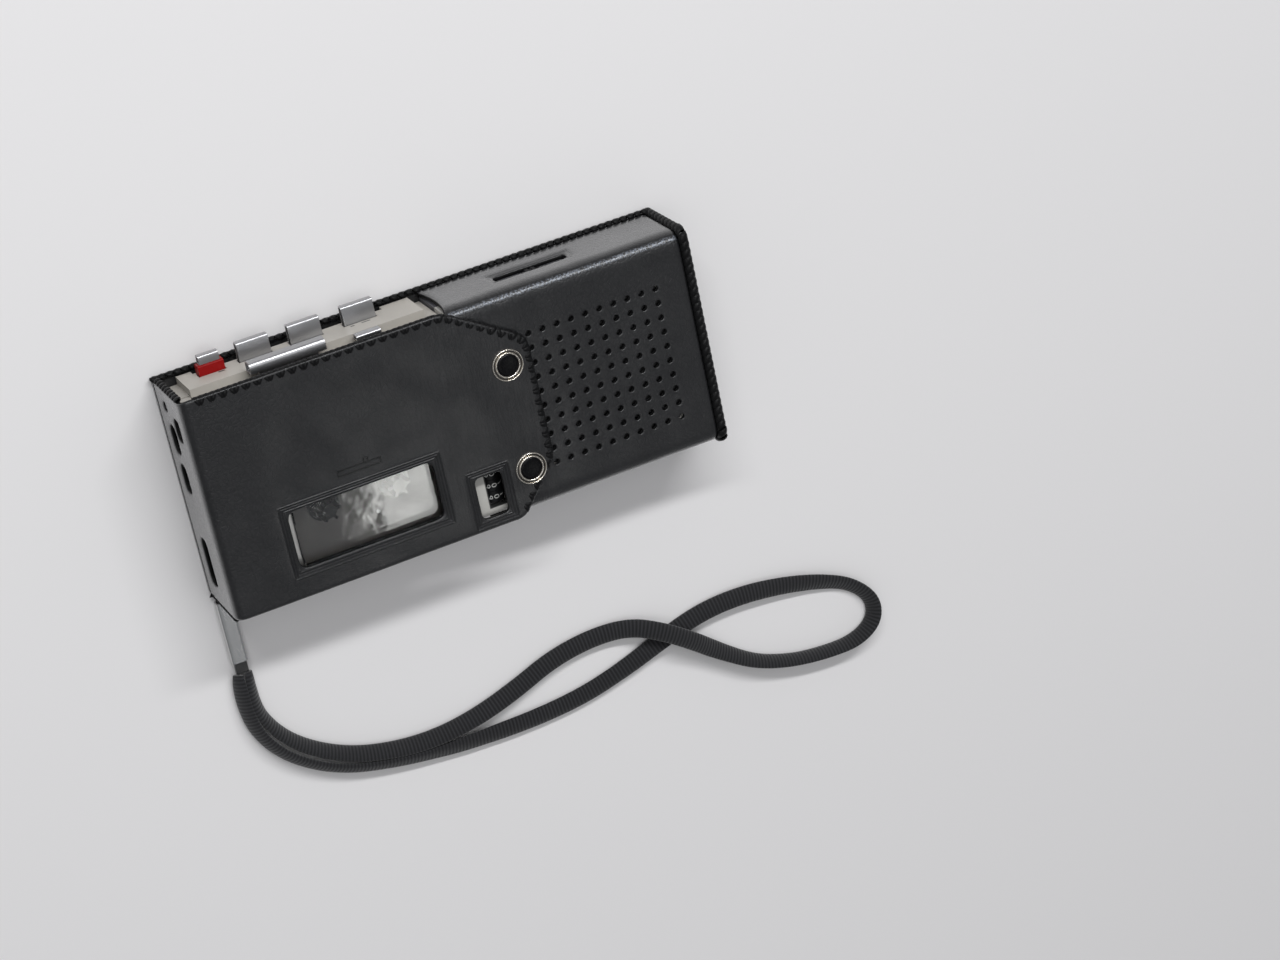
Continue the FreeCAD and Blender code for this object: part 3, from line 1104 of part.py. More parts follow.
SCREW_SPOTS = [
    ("left + screw_from_left", "lower_side + screw_from_low"),
    ("left + screw_from_left", "keys_side - screw_from_keys"),
    ("rec_right - end_screw_in", "keys_side - bay_screw_from_keys"),
    ("divide + rib_screw_in", "keys_side - bay_screw_from_keys"),
]
DECK_SPOTS = [
    ("left + deck_left + deck_post_in", "lower_side + deck_post_up"),
    ("left + deck_left + deck_post_in", "keys_side - deck_post_a"),
    ("deck_right - deck_post_right", "lower_side + deck_post_up"),
    ("deck_right - deck_post_right", "keys_side - deck_post_b"),
]
BOARD_SPOTS = [
    ("board_x0 + board_post_in", "board_y0 + board_post_up"),
    ("board_x0 + board_length - board_post_in", "board_y0 + board_post_up"),
    ("board_x0 + board_length - board_post_in", "board_y1 - board_post_up"),
]
JACKS = [
    ("mic_jack", "mic_port_from_keys"),
    ("ear_jack", "ear_port_from_keys"),
    ("dc_jack", "dc_port_from_keys"),
]


def key_bay(name, z0, z1):
    """The room that both shells leave for the key panel."""
    return box(
        name, "rec_left - 1", "bay_right + lay_gap", "ledge_in - run_gap", "keys_side + 1", z0, z1,
    )


def make_rear_shell():
    outer = slab(
        "rear_outer", "Z", "rec_left", "rec_right", "rec_low", "rec_keys",
        "rec_back", "split", "shell_corner",
    )
    inner = slab(
        "rear_inner", "Z", "in_left", "in_right", "in_low", "in_keys",
        "in_back", "split + 1", "shell_corner - shell_wall",
    )
    door_hole = slab(
        "door_hole", "Z", "door_x0", "door_x1", "door_y0", "door_y1",
        "rec_back - 1", "in_back + 1", "door_round",
    )
    wheel_gap = box(
        "rear_wheel_gap", "wheel_x - wheel_radius", "wheel_x + wheel_radius",
        "in_keys - 1", "rec_keys + 1", "wheel_level - wheel_sheet/2 - lay_gap", "split + 1",
    )
    holes = [
        rod(
            f"{name}_hole", "X", f"keys_side - {from_keys}", "port_level",
            "rec_left - 1", "in_left + 1", "jack_nose_radius + run_gap",
        )
        for name, from_keys in JACKS
    ]
    shell = cut(
        "rear_tray", outer,
        [inner, door_hole, wheel_gap, key_bay("rear_key_bay", "rec_back - 1", "split + 1")] + holes,
    )
    rib = box(
        "rear_rib", "divide - rib_wall/2", "divide + rib_wall/2", "in_low", "board_y0",
        "in_back", "split",
    )
    posts = [
        rod(f"screw_post_{n}", "Z", x, y, "in_back", "split", "post_radius")
        for n, (x, y) in enumerate(SCREW_SPOTS)
    ]
    posts += [
        rod(f"deck_post_{n}", "Z", x, y, "in_back", "deck_low", "post_radius")
        for n, (x, y) in enumerate(DECK_SPOTS)
    ]
    posts += [
        rod(f"board_post_{n}", "Z", x, y, "in_back", "board_level - run_gap", "board_post_radius")
        for n, (x, y) in enumerate(BOARD_SPOTS)
    ]
    thrust = rod(
        "thrust_pad", "Z", "capstan_x", "capstan_y", "in_back", "in_back + thrust_height",
        "thrust_radius",
    )
    solid = fuse("rear_solid", [shell, rib, thrust] + posts)
    bores = []
    for n, (x, y) in enumerate(SCREW_SPOTS):
        bores.append(
            rod(f"screw_bore_{n}", "Z", x, y, "rec_back - 1", "split + 1", "screw_radius + screw_gap")
        )
        bores.append(
            rod(
                f"screw_sink_{n}", "Z", x, y, "rec_back - 1", "rec_back + screw_gap + screw_head",
                "screw_head_radius + screw_gap",
            )
        )
    parts["rear_shell"] = cut("rear_shell", solid, bores)
    parts["battery_door"] = slab(
        "battery_door", "Z", "door_x0 + door_gap", "door_x1 - door_gap", "door_y0 + door_gap",
        "door_y1 - door_gap", "rec_back", "in_back - lay_gap", "door_round - door_gap",
    )


def make_front_shell():
    block = slab(
        "front_block", "Z", "rec_left", "rec_right", "rec_low", "rec_keys",
        "split + shell_gap", "rec_front", "shell_corner",
    )
    rounding = slab(
        "front_rounding", "X", "rec_low", "rec_keys", "rec_back", "rec_front",
        "rec_left - 1", "rec_right + 1", "shell_edge",
    )
    outer = common("front_outer", block, rounding)
    inner = slab(
        "front_inner", "Z", "in_left", "in_right", "in_low", "in_keys",
        "split - 1", "in_front", "shell_corner - shell_wall",
    )
    lid_hole = box(
        "lid_hole", "lid_x0 - lay_gap", "lid_x1 + lay_gap", "in_low", "lid_y1 + lay_gap",
        "in_front - 1", "rec_front + 1",
    )
    drums_hole = slab(
        "drums_hole", "Z", "counter_x - drum_slot_width/2", "counter_x + drum_slot_width/2",
        "keys_side - drum_from_keys - 3*drum_width - drum_slot_low",
        "keys_side - drum_from_keys + drum_slot_high",
        "in_front - 1", "rec_front + 1", "drum_slot_corner",
    )
    grille_hole = slab(
        "grille_hole", "Z", "speaker_x - grille_side/2", "speaker_x + grille_side/2",
        "grille_y - grille_side/2", "grille_y + grille_side/2",
        "in_front - 1", "rec_front + 1", "grille_round",
    )
    mic_hole = rod(
        "mic_hole", "X", "keys_side - mic_from_keys", "mic_level",
        "rec_left - 1", "in_left + 1", "mic_hole_radius",
    )
    shell = cut(
        "front_tray", outer,
        [inner, lid_hole, drums_hole, grille_hole, mic_hole,
         key_bay("front_key_bay", "split - 1", "rec_front + 1")],
    )
    posts = [
        rod(f"front_post_{n}", "Z", x, y, "split + shell_gap", "in_front", "post_radius")
        for n, (x, y) in enumerate(SCREW_SPOTS)
    ]
    walls = [
        box(
            "well_wall_left", "lid_x0 - lay_gap - well_wall", "lid_x0 - lay_gap",
            "in_low", "lid_y1", "deck_top + shell_gap", "in_front",
        ),
        box(
            "well_wall_right", "lid_x1 + lay_gap", "lid_x1 + lay_gap + well_wall",
            "in_low", "lid_y1", "deck_top + shell_gap", "in_front",
        ),
    ]
    solid = fuse("front_solid", [shell] + posts + walls)
    bores = [
        rod(f"front_bore_{n}", "Z", x, y, "split - 1", "in_front - 1", "screw_radius + press_gap")
        for n, (x, y) in enumerate(SCREW_SPOTS)
    ]
    bores.append(
        rod(
            "pin_bore", "X", "lid_axis_y", "lid_axis_z",
            "lid_x0 - lay_gap - 2", "lid_x1 + lay_gap + 2", "pin_radius + press_gap",
        )
    )
    parts["front_shell"] = cut("front_shell", solid, bores)


def make_screws():
    screws = []
    for n, (x, y) in enumerate(SCREW_SPOTS):
        head = rod(
            f"screw_head_{n}", "Z", x, y, "rec_back + screw_gap",
            "rec_back + screw_gap + screw_head", "screw_head_radius",
        )
        shank = rod(
            f"screw_shank_{n}", "Z", x, y, "rec_back + screw_gap", "split + screw_bite",
            "screw_radius",
        )
        screws.append(fuse(f"screw_{n}", [head, shank]))
    parts["shell_screws"] = group("shell_screws", screws)


# Key side

KEY_LEVEL = "key_back + key_sheet/2"
BUTTON_BACK = "key_back - button_drop"


def make_key_panel():
    plate = box(
        "panel_plate", "rec_left + shell_gap", "bay_right", "ledge_in", "ledge",
        "rec_back + shell_gap", "rec_front - shell_gap",
    )
    channel = box(
        "panel_channel", "left + channel_left", "channel_end", "ledge - channel_root",
        "channel_top", "channel_back", "channel_front",
    )
    left_block = box(
        "panel_left_block", "left + channel_left", "left + block_left_end",
        "ledge - channel_root",
        "channel_top", "bead_height + block_clear", "channel_back + 1",
    )
    right_block = box(
        "panel_right_block", "channel_end - block_right_length", "channel_end",
        "ledge - channel_root",
        "channel_top", "bead_height + block_clear", "channel_back + 1",
    )
    solid = fuse("panel_solid", [plate, channel, left_block, right_block])
    through = ("ledge_in - 1", "keys_side + 1")
    cutters = []
    for name in ("rewind", "forward", "play"):
        cutters.append(
            box(
                f"{name}_slot",
                f"left + {name}_from_left - key_width/2 - lay_gap",
                f"left + {name}_from_left + key_width/2 + lay_gap",
                *through, "key_back - lay_gap", "key_back + key_sheet + lay_gap",
            )
        )
    cutters.append(
        box(
            "record_slot",
            "left + record_from_left - record_button_width/2 - lay_gap",
            "left + record_from_left + record_button_width/2 + lay_gap",
            *through, f"{BUTTON_BACK} - lay_gap", f"{BUTTON_BACK} + record_button_sheet + lay_gap",
        )
    )
    cutters.append(
        box(
            "stop_slot",
            "left + stop_from_left - stop_length/2 - lay_gap",
            "left + stop_from_left + stop_length/2 + lay_gap",
            *through, "stop_level - stop_sheet/2 - lay_gap", "stop_level + stop_sheet/2 + lay_gap",
        )
    )
    cutters.append(
        slab(
            "pause_slot", "Y", "pause_level - pause_slot_height/2",
            "pause_level + pause_slot_height/2",
            "left + pause_from_left - pause_slot_length/2",
            "left + pause_from_left + pause_slot_length/2 + pause_travel",
            *through, "pause_slot_height*0.15",
        )
    )
    cutters.append(
        box(
            "pause_dish", "left + pause_from_left - pause_length/2 - dish_margin",
            "left + pause_from_left + pause_length/2 + pause_travel + dish_margin",
            "ledge - dish_depth", "ledge + 1",
            "pause_level - dish_height/2", "pause_level + dish_height/2",
        )
    )
    cutters.append(
        box(
            "ledge_groove_cut", "rec_left", "left + channel_left", "ledge - ledge_groove_depth",
            "ledge + 1", "split - ledge_groove/2", "split + ledge_groove/2",
        )
    )
    parts["side_key_panel"] = cut("side_key_panel", solid, cutters)


def key_cap(name, centre, width, z0, z1, top, rounding):
    """A cap folded over a stem: its top edges are rounded along X."""
    return slab(
        name, "X", "ledge_in - cap_root", top, z0, z1,
        f"{centre} - ({width})/2", f"{centre} + ({width})/2", rounding,
    )


def make_keys():
    for name in ("rewind", "forward", "play"):
        centre = f"left + {name}_from_left"
        cap = key_cap(
            f"{name}_cap", centre, "key_width", "key_back", "key_back + key_sheet",
            "keys_side + key_stand", "key_round",
        )
        stem = box(
            f"{name}_stem", f"{centre} - stem_width/2", f"{centre} + stem_width/2",
            "keys_side - stem_end", "ledge_in + stem_lap",
            "key_back + stem_inset", "key_back + key_sheet - stem_inset",
        )
        parts[f"{name}_key"] = fuse(f"{name}_key", [cap, stem])

    # The record key is a red button with a metal cap on a tongue above it
    centre = "left + record_from_left"
    button = key_cap(
        "record_body", centre, "record_button_width", BUTTON_BACK,
        f"{BUTTON_BACK} + record_button_sheet", "keys_side + record_button_stand", "button_round",
    )
    inside = "(cap_wall + run_gap)"
    tongue = box(
        "record_tongue", f"{centre} - record_cap_width/2 + {inside}",
        f"{centre} + record_cap_width/2 - {inside}",
        "keys_side + record_button_stand - button_round", f"keys_side + key_stand - {inside}",
        f"key_back + {inside}", f"key_back + key_sheet - {inside}",
    )
    stem = box(
        "record_stem", f"{centre} - stem_width/2", f"{centre} + stem_width/2",
        "keys_side - stem_end", "ledge_in + stem_lap",
        "key_back + stem_inset", "key_back + key_sheet - stem_inset",
    )
    parts["record_button"] = fuse("record_button", [button, tongue, stem])
    cap = slab(
        "record_cap_shell", "X", "keys_side + record_button_stand", "keys_side + key_stand",
        "key_back", "key_back + key_sheet",
        f"{centre} - record_cap_width/2", f"{centre} + record_cap_width/2", "key_round",
    )
    square = box(
        "record_cap_foot", f"{centre} - record_cap_width/2", f"{centre} + record_cap_width/2",
        "keys_side + record_button_stand", "keys_side + record_button_stand + key_round",
        "key_back", "key_back + key_sheet",
    )
    room = box(
        "record_cap_room", f"{centre} - record_cap_width/2 + cap_wall",
        f"{centre} + record_cap_width/2 - cap_wall",
        "keys_side", "keys_side + key_stand - cap_wall", "key_back + cap_wall",
        "key_back + key_sheet - cap_wall",
    )
    parts["record_cap"] = cut("record_cap", fuse("record_cap_blank", [cap, square]), [room])

    bar = slab(
        "stop_cap", "X", "ledge_in - cap_root/2", "keys_side + stop_stand",
        "stop_level - stop_sheet/2", "stop_level + stop_sheet/2",
        "left + stop_from_left - stop_length/2", "left + stop_from_left + stop_length/2",
        "stop_sheet*0.45",
    )
    stem = box(
        "stop_stem", "left + stop_from_left - stem_width/2", "left + stop_from_left + stem_width/2",
        "keys_side - stem_end", "ledge",
        "stop_level - stop_stem_sheet/2", "stop_level + stop_stem_sheet/2",
    )
    parts["stop_bar"] = fuse("stop_bar", [bar, stem])

    # The pause slider rides on the ledge with its foot through the slot
    centre = "left + pause_from_left"
    blocks = [
        slab(
            "pause_cap", "X", "ledge - dish_depth + shell_gap", "keys_side",
            "pause_level - pause_sheet/2",
            "pause_level + pause_sheet/2",
            f"{centre} - pause_length/2", f"{centre} + pause_length/2", "button_round",
        ),
        box(
            "pause_neck", f"{centre} - neck_length/2", f"{centre} + neck_length/2",
            "ledge_in - lay_gap - foot_sheet/2", "ledge - dish_depth/2",
            "pause_level - neck_height/2", "pause_level + neck_height/2",
        ),
        box(
            "pause_foot", f"{centre} - foot_length/2", f"{centre} + foot_length/2",
            "ledge_in - lay_gap - foot_sheet", "ledge_in - lay_gap",
            "pause_level - foot_height/2", "pause_level + foot_height/2",
        ),
    ]
    grooves = [
        box(
            f"pause_groove_{n}",
            f"{centre} - pause_length/2 + groove_start + {n}*groove_pitch",
            f"{centre} - pause_length/2 + groove_start + {n}*groove_pitch + groove_width",
            "keys_side - groove_width", "keys_side + 1",
            "pause_level - pause_sheet", "pause_level + pause_sheet",
        )
        for n in range(round(value("groove_count")))
    ]
    parts["pause_slider"] = cut("pause_slider", fuse("pause_solid", blocks), grooves)

    # Return springs stand between each stem and the upright of the key frame
    springs = []
    for name, level in (
        ("record", KEY_LEVEL), ("rewind", KEY_LEVEL), ("forward", KEY_LEVEL),
        ("play", KEY_LEVEL), ("stop", "stop_level"),
    ):
        spring = ring(
            f"{name}_spring", "Y", level, f"left + {name}_from_left",
            "spring_seat + run_gap", "keys_side - stem_end - run_gap",
            "spring_radius", "spring_radius - spring_wire",
        )
        springs.append(spring)
    parts["key_springs"] = group("key_springs", springs)

    # A folded steel frame carries the stems and takes the thrust of the springs
    x0, x1 = "left + record_from_left - frame_past_keys", "left + play_from_left + frame_past_keys"
    y0, y1 = "spring_seat - frame_sheet", "ledge_in - frame_from_panel"
    top = "key_back - frame_clear"
    base = box("frame_base", x0, x1, y0, y1, f"{top} - frame_sheet", top)
    upright = box(
        "frame_upright", x0, x1, y0, "spring_seat", f"{top} - frame_sheet",
        "deck_low - frame_clear",
    )
    feet = [
        box(
            f"key_{spot}", f"left + {spot} - frame_foot_width/2",
            f"left + {spot} + frame_foot_width/2", y0, y1, "in_back + run_gap", top,
        )
        for spot in ("frame_foot_a", "frame_foot_b")
    ]
    parts["key_frame"] = fuse("key_frame", [base, upright] + feet)


# Deck and drive

# The idler fills the line between the flywheel's hub and the take-up wheel
TAKEUP_DISTANCE = "sqrt((takeup_x - capstan_x)^2 + (reel_y - capstan_y)^2)"
IDLER_RADIUS = f"({TAKEUP_DISTANCE} - flywheel_hub - reel_gear_radius)/2 - run_gap"
IDLER_SHARE = f"(flywheel_hub + run_gap + {IDLER_RADIUS})/{TAKEUP_DISTANCE}"
IDLER = (
    f"capstan_x + (takeup_x - capstan_x)*{IDLER_SHARE}",
    f"capstan_y + (reel_y - capstan_y)*{IDLER_SHARE}",
)


def make_deck():
    tab_y0 = "motor_y - deck_tab/2"
    tab_y1 = "motor_y + deck_tab/2"
    corners = [
        ("left + deck_left", "in_low + lay_gap"),
        ("deck_right", "in_low + lay_gap"),
        ("deck_right", "keys_side - deck_from_keys"),
        ("left + deck_left", "keys_side - deck_from_keys"),
        ("left + deck_left", tab_y1),
        ("in_left + lay_gap", tab_y1),
        ("in_left + lay_gap", tab_y0),
        ("left + deck_left", tab_y0),
    ]
    plate = outline_plate(
        "deck_blank", "left", "lower_side", corners, "deck_low", "deck_top",
        [(1, "deck_round"), (2, "deck_round")],
    )
    through = ("deck_low - 1", "deck_top + 1")
    shaft_hole = "reel_shaft_radius + run_gap"
    holes = [
        rod("supply_hole", "Z", "supply_x", "reel_y", *through, shaft_hole),
        rod("takeup_hole", "Z", "takeup_x", "reel_y", *through, shaft_hole),
        rod("bearing_hole", "Z", "capstan_x", "capstan_y", *through, "bearing_radius + press_gap"),
        rod("motor_hole", "Z", "motor_x", "motor_y", *through, "motor_radius + motor_fit"),
    ]
    holed = cut("deck_holed", plate, holes)
    inside = "(deck_low + deck_top)/2"
    fixed = [
        rod("idler_post", "Z", *IDLER, "reel_low - 2*run_gap", inside, "idler_post_radius"),
        rod(
            "pinch_post", "Z", "pinch_x", "pinch_y", inside, "deck_top + pinch_post_height",
            "pinch_post_radius",
        ),
        rod(
            "pinch_post_foot", "Z", "pinch_x", "pinch_y", inside, "deck_top + pinch_foot_height",
            "pinch_foot_radius",
        ),
        rod(
            "pinch_post_head", "Z", "pinch_x", "pinch_y",
            "deck_top + pinch_post_height - pinch_head", "deck_top + pinch_post_height",
            "pinch_head_radius",
        ),
        box(
            "stop_bracket", "left + stop_from_left - bracket_width/2",
            "left + stop_from_left + bracket_width/2",
            "spring_seat - frame_sheet", "spring_seat", inside, "stop_level + bracket_above",
        ),
    ]
    parts["deck_plate"] = fuse("deck_plate", [holed] + fixed)
    parts["capstan_bearing"] = ring(
        "capstan_bearing", "Z", "capstan_x", "capstan_y", "deck_low - bearing_below",
        "deck_top + bearing_above",
        "bearing_radius", "capstan_radius + run_gap",
    )


def make_spindle(name, x):
    """A reel spindle: drive wheel, shaft, table and a hub with six fins."""
    wheel = rod(f"{name}_wheel", "Z", x, "reel_y", "reel_low", "reel_top", "reel_gear_radius")
    shaft = rod(
        f"{name}_shaft", "Z", x, "reel_y", "reel_low", "table_top - table_sheet/2",
        "reel_shaft_radius",
    )
    table = rod(
        f"{name}_table", "Z", x, "reel_y", "deck_top + table_lift", "table_top",
        "reel_table_radius",
    )
    hub = rod(
        f"{name}_hub", "Z", x, "reel_y", "table_top - table_sheet/2", "table_top + reel_height",
        "reel_hub_radius",
    )
    fins = []
    for turn in range(3):
        fin = doc.addObject("Part::Box", f"{name}_fin_{turn}")
        half = "(reel_hub_radius + reel_fin)"
        angle = math.radians(60 * turn)
        along = Vector(math.cos(angle), math.sin(angle), 0)
        side = Vector(-math.sin(angle), math.cos(angle), 0)
        fin.Placement = Placement(
            Matrix(along.x, side.x, 0, 0, along.y, side.y, 0, 0, 0, 0, 1, 0)
        )
        bind(
            fin,
            Length=f"2*{half}",
            Width="fin_sheet",
            Height="reel_height - fin_short",
            Placement__Base__x=f"{x} - {half}*{along.x:.6f} - fin_sheet/2*{side.x:.6f}",
            Placement__Base__y=f"reel_y - {half}*{along.y:.6f} - fin_sheet/2*{side.y:.6f}",
            Placement__Base__z="table_top",
        )
        fins.append(fin)
    parts[name] = fuse(name, [wheel, shaft, table, hub] + fins)


def belt_loop(first, first_radius, second, second_radius):
    """A face filled by two circles and their outer tangents."""
    line = second - first
    lean = math.acos((first_radius - second_radius) / line.Length)
    heading = math.atan2(line.y, line.x)

    def rim(centre, radius, angle):
        return centre + Vector(math.cos(angle), math.sin(angle), 0) * radius

    upper, lower = heading + lean, heading - lean
    a_up, a_low = rim(first, first_radius, upper), rim(first, first_radius, lower)
    b_up, b_low = rim(second, second_radius, upper), rim(second, second_radius, lower)
    back_of_first = rim(first, first_radius, heading + math.pi)
    front_of_second = rim(second, second_radius, heading)
    edges = [
        Part.Arc(a_up, back_of_first, a_low).toShape(),
        Part.LineSegment(a_low, b_low).toShape(),
        Part.Arc(b_low, front_of_second, b_up).toShape(),
        Part.LineSegment(b_up, a_up).toShape(),
    ]
    return Part.Face(Part.Wire(edges))


def make_drive():
    make_spindle("supply_spindle", "supply_x")
    make_spindle("takeup_spindle", "takeup_x")
    parts["capstan"] = rod(
        "capstan", "Z", "capstan_x", "capstan_y", "in_back + thrust_height + run_gap",
        "deck_top + capstan_height", "capstan_radius",
    )
    rim = rod(
        "flywheel_rim", "Z", "capstan_x", "capstan_y", "flywheel_low", "flywheel_top",
        "flywheel_radius",
    )
    hub = rod(
        "flywheel_boss", "Z", "capstan_x", "capstan_y", "flywheel_low", "reel_top", "flywheel_hub",
    )
    eye = rod(
        "flywheel_eye", "Z", "capstan_x", "capstan_y", "flywheel_low - 1", "deck_top",
        "capstan_radius + press_gap",
    )
    parts["flywheel"] = cut("flywheel", fuse("flywheel_solid", [rim, hub]), [eye])

    parts["idler_wheel"] = ring(
        "idler_wheel", "Z", *IDLER, "reel_low + idler_lift", "reel_top - idler_drop",
        IDLER_RADIUS, "idler_post_radius + run_gap",
    )

    can_low = "belt_low + motor_above_belt"
    can = rod(
        "motor_can", "Z", "motor_x", "motor_y", can_low, f"{can_low} + motor_height",
        "motor_radius",
    )
    flange = rod(
        "motor_flange_ring", "Z", "motor_x", "motor_y", "deck_top", "deck_top + motor_flange",
        "motor_radius + motor_flange_rim",
    )
    boss = rod(
        "motor_boss_ring", "Z", "motor_x", "motor_y", f"{can_low} - motor_boss",
        f"{can_low} + motor_boss", "motor_boss_radius",
    )
    shaft_room = rod(
        "motor_shaft_room", "Z", "motor_x", "motor_y", "belt_low",
        "belt_low + motor_shaft_length + motor_boss", "motor_shaft_radius + run_gap",
    )
    parts["motor"] = cut("motor", fuse("motor_solid", [can, flange, boss]), [shaft_room])
    wheel = rod(
        "pulley_wheel", "Z", "motor_x", "motor_y", "belt_low - pulley_margin",
        "belt_low + belt_side + pulley_margin", "pulley_radius",
    )
    shaft = rod(
        "pulley_shaft", "Z", "motor_x", "motor_y", "belt_low - pulley_margin",
        "belt_low + motor_shaft_length", "motor_shaft_radius",
    )
    parts["motor_pulley"] = fuse("motor_pulley", [wheel, shaft])

    first = Vector(value("capstan_x"), value("capstan_y"), value("belt_low"))
    second = Vector(value("motor_x"), value("motor_y"), value("belt_low"))
    slack = value("run_gap")
    side = value("belt_side")
    rims = (value("flywheel_radius") + slack, value("pulley_radius") + slack)
    outer = belt_loop(first, rims[0] + side, second, rims[1] + side)
    inner = belt_loop(first, rims[0], second, rims[1])
    belt = doc.addObject("Part::Feature", "drive_belt")
    belt.Shape = outer.cut(inner).extrude(Vector(0, 0, side))
    parts["drive_belt"] = belt


def make_heads():
    on_slide = "deck_top + slide_lift + slide_sheet"
    slide = box(
        "slide_plate", "supply_x - slide_past_supply", "capstan_x - slide_to_capstan",
        "keys_side - slide_from_keys - slide_width", "keys_side - slide_from_keys",
        "deck_top + slide_lift", on_slide,
    )
    parts["head_slide"] = slide
    middle = "(supply_x + takeup_x)/2"
    head_back = "keys_side - slide_from_keys - head_set_back"
    core = slab(
        "head_core", "Z", f"{middle} - head_width/2", f"{middle} + head_width/2",
        f"{head_back} - head_depth", head_back, on_slide, f"{on_slide} + head_height", "head_round",
    )
    erase_back = "keys_side - slide_from_keys - erase_set_back"
    eraser = slab(
        "erase_head", "Z", f"{middle} - erase_offset - erase_width/2",
        f"{middle} - erase_offset + erase_width/2",
        f"{erase_back} - erase_depth", erase_back, on_slide, f"{on_slide} + erase_height",
        "head_round",
    )
    parts["tape_heads"] = group("tape_heads", [core, eraser])

    arm_low = "deck_top + arm_lift"
    plate = slab(
        "pinch_plate", "Z", "capstan_x - arm_margin", "pinch_x + arm_margin",
        "roller_y - arm_margin", "pinch_y + arm_margin", arm_low, f"{arm_low} + arm_sheet",
        "arm_margin - 2*run_gap",
    )
    pivot_eye = rod(
        "pinch_eye", "Z", "pinch_x", "pinch_y", "deck_top", "deck_top + 5",
        "pinch_post_radius + run_gap",
    )
    axle = rod(
        "pinch_axle", "Z", "capstan_x", "roller_y", arm_low,
        "deck_top + roller_lift + roller_height + 4*run_gap", "roller_axle_radius",
    )
    arm = cut("pinch_arm_plate", plate, [pivot_eye])
    parts["pinch_arm"] = fuse("pinch_arm", [arm, axle])
    parts["pinch_roller"] = ring(
        "pinch_roller", "Z", "capstan_x", "roller_y", "deck_top + roller_lift",
        "deck_top + roller_lift + roller_height",
        "pinch_roller_radius", "roller_axle_radius + run_gap",
    )


# Cassette lid


def make_lid():
    plate = slab(
        "lid_plate", "Z", "lid_x0", "lid_x1", "lid_axis_y - 0.2", "lid_y1",
        "lid_low", "rec_front", "0.15",
    )
    barrel = rod(
        "lid_barrel", "X", "lid_axis_y", "lid_axis_z", "lid_x0", "lid_x1", "barrel_radius",
    )
    tab = slab(
        "lid_tab", "Z",
        "left + bump_from_left - bump_length/3", "left + bump_from_left + bump_length/3",
        "keys_side - bump_from_keys - lid_tab_width/2",
        "keys_side - bump_from_keys + lid_tab_width/2",
        "rec_front - glass_lift", "rec_front + lid_tab_height", "lid_tab_width*0.45",
    )
    window = slab(
        "lid_window_hole", "Z", "glass_x0", "glass_x1", "glass_y0", "glass_y1",
        "lid_low - 1", "rec_front + 1", "lid_window_corner",
    )
    bore = rod(
        "lid_bore", "X", "lid_axis_y", "lid_axis_z", "lid_x0 - 1", "lid_x1 + 1",
        "pin_radius + run_gap",
    )
    parts["cassette_lid"] = cut(
        "cassette_lid", fuse("lid_solid", [plate, barrel, tab]), [window, bore],
    )
    parts["lid_window"] = slab(
        "lid_window", "Z", "glass_x0 + run_gap", "glass_x1 - run_gap", "glass_y0 + run_gap",
        "glass_y1 - run_gap", "lid_low + glass_lift", "rec_front - glass_sink",
        "lid_window_corner - 2*run_gap",
    )
    parts["lid_hinge_pin"] = rod(
        "lid_hinge_pin", "X", "lid_axis_y", "lid_axis_z",
        "lid_x0 - lay_gap - well_wall + pin_short", "lid_x1 + lay_gap + well_wall - pin_short",
        "pin_radius",
    )


# Tape counter

DRUMS = ["hundreds", "tens", "units"]


def make_counter():
    for n, name in enumerate(DRUMS):
        y1 = f"keys_side - drum_from_keys - {n}*(drum_width + drum_gap)"
        parts[f"counter_{name}_drum"] = ring(
            f"counter_{name}_drum", "Y", "counter_z", "counter_x",
            f"{y1} - drum_width", y1, "drum_radius", "axle_radius + run_gap",
        )
    low, high = "drums_low - counter_sheet", "drums_high + counter_sheet"
    base = box(
        "counter_base", "counter_x - counter_foot/2", "counter_x + counter_foot/2", low, high,
        "deck_top", "deck_top + counter_sheet",
    )
    cheeks = [
        box(
            f"counter_cheek_{end}", "counter_x - counter_cheek/2", "counter_x + counter_cheek/2",
            y0, f"{y0} + counter_sheet", "deck_top", "counter_z + cheek_above",
        )
        for end, y0 in (("low", low), ("high", "drums_high"))
    ]
    axle = rod("counter_axle", "Y", "counter_z", "counter_x", low, high, "axle_radius")
    parts["counter_frame"] = fuse("counter_frame", [base] + cheeks + [axle])


# Loudspeaker, electronics and battery bay


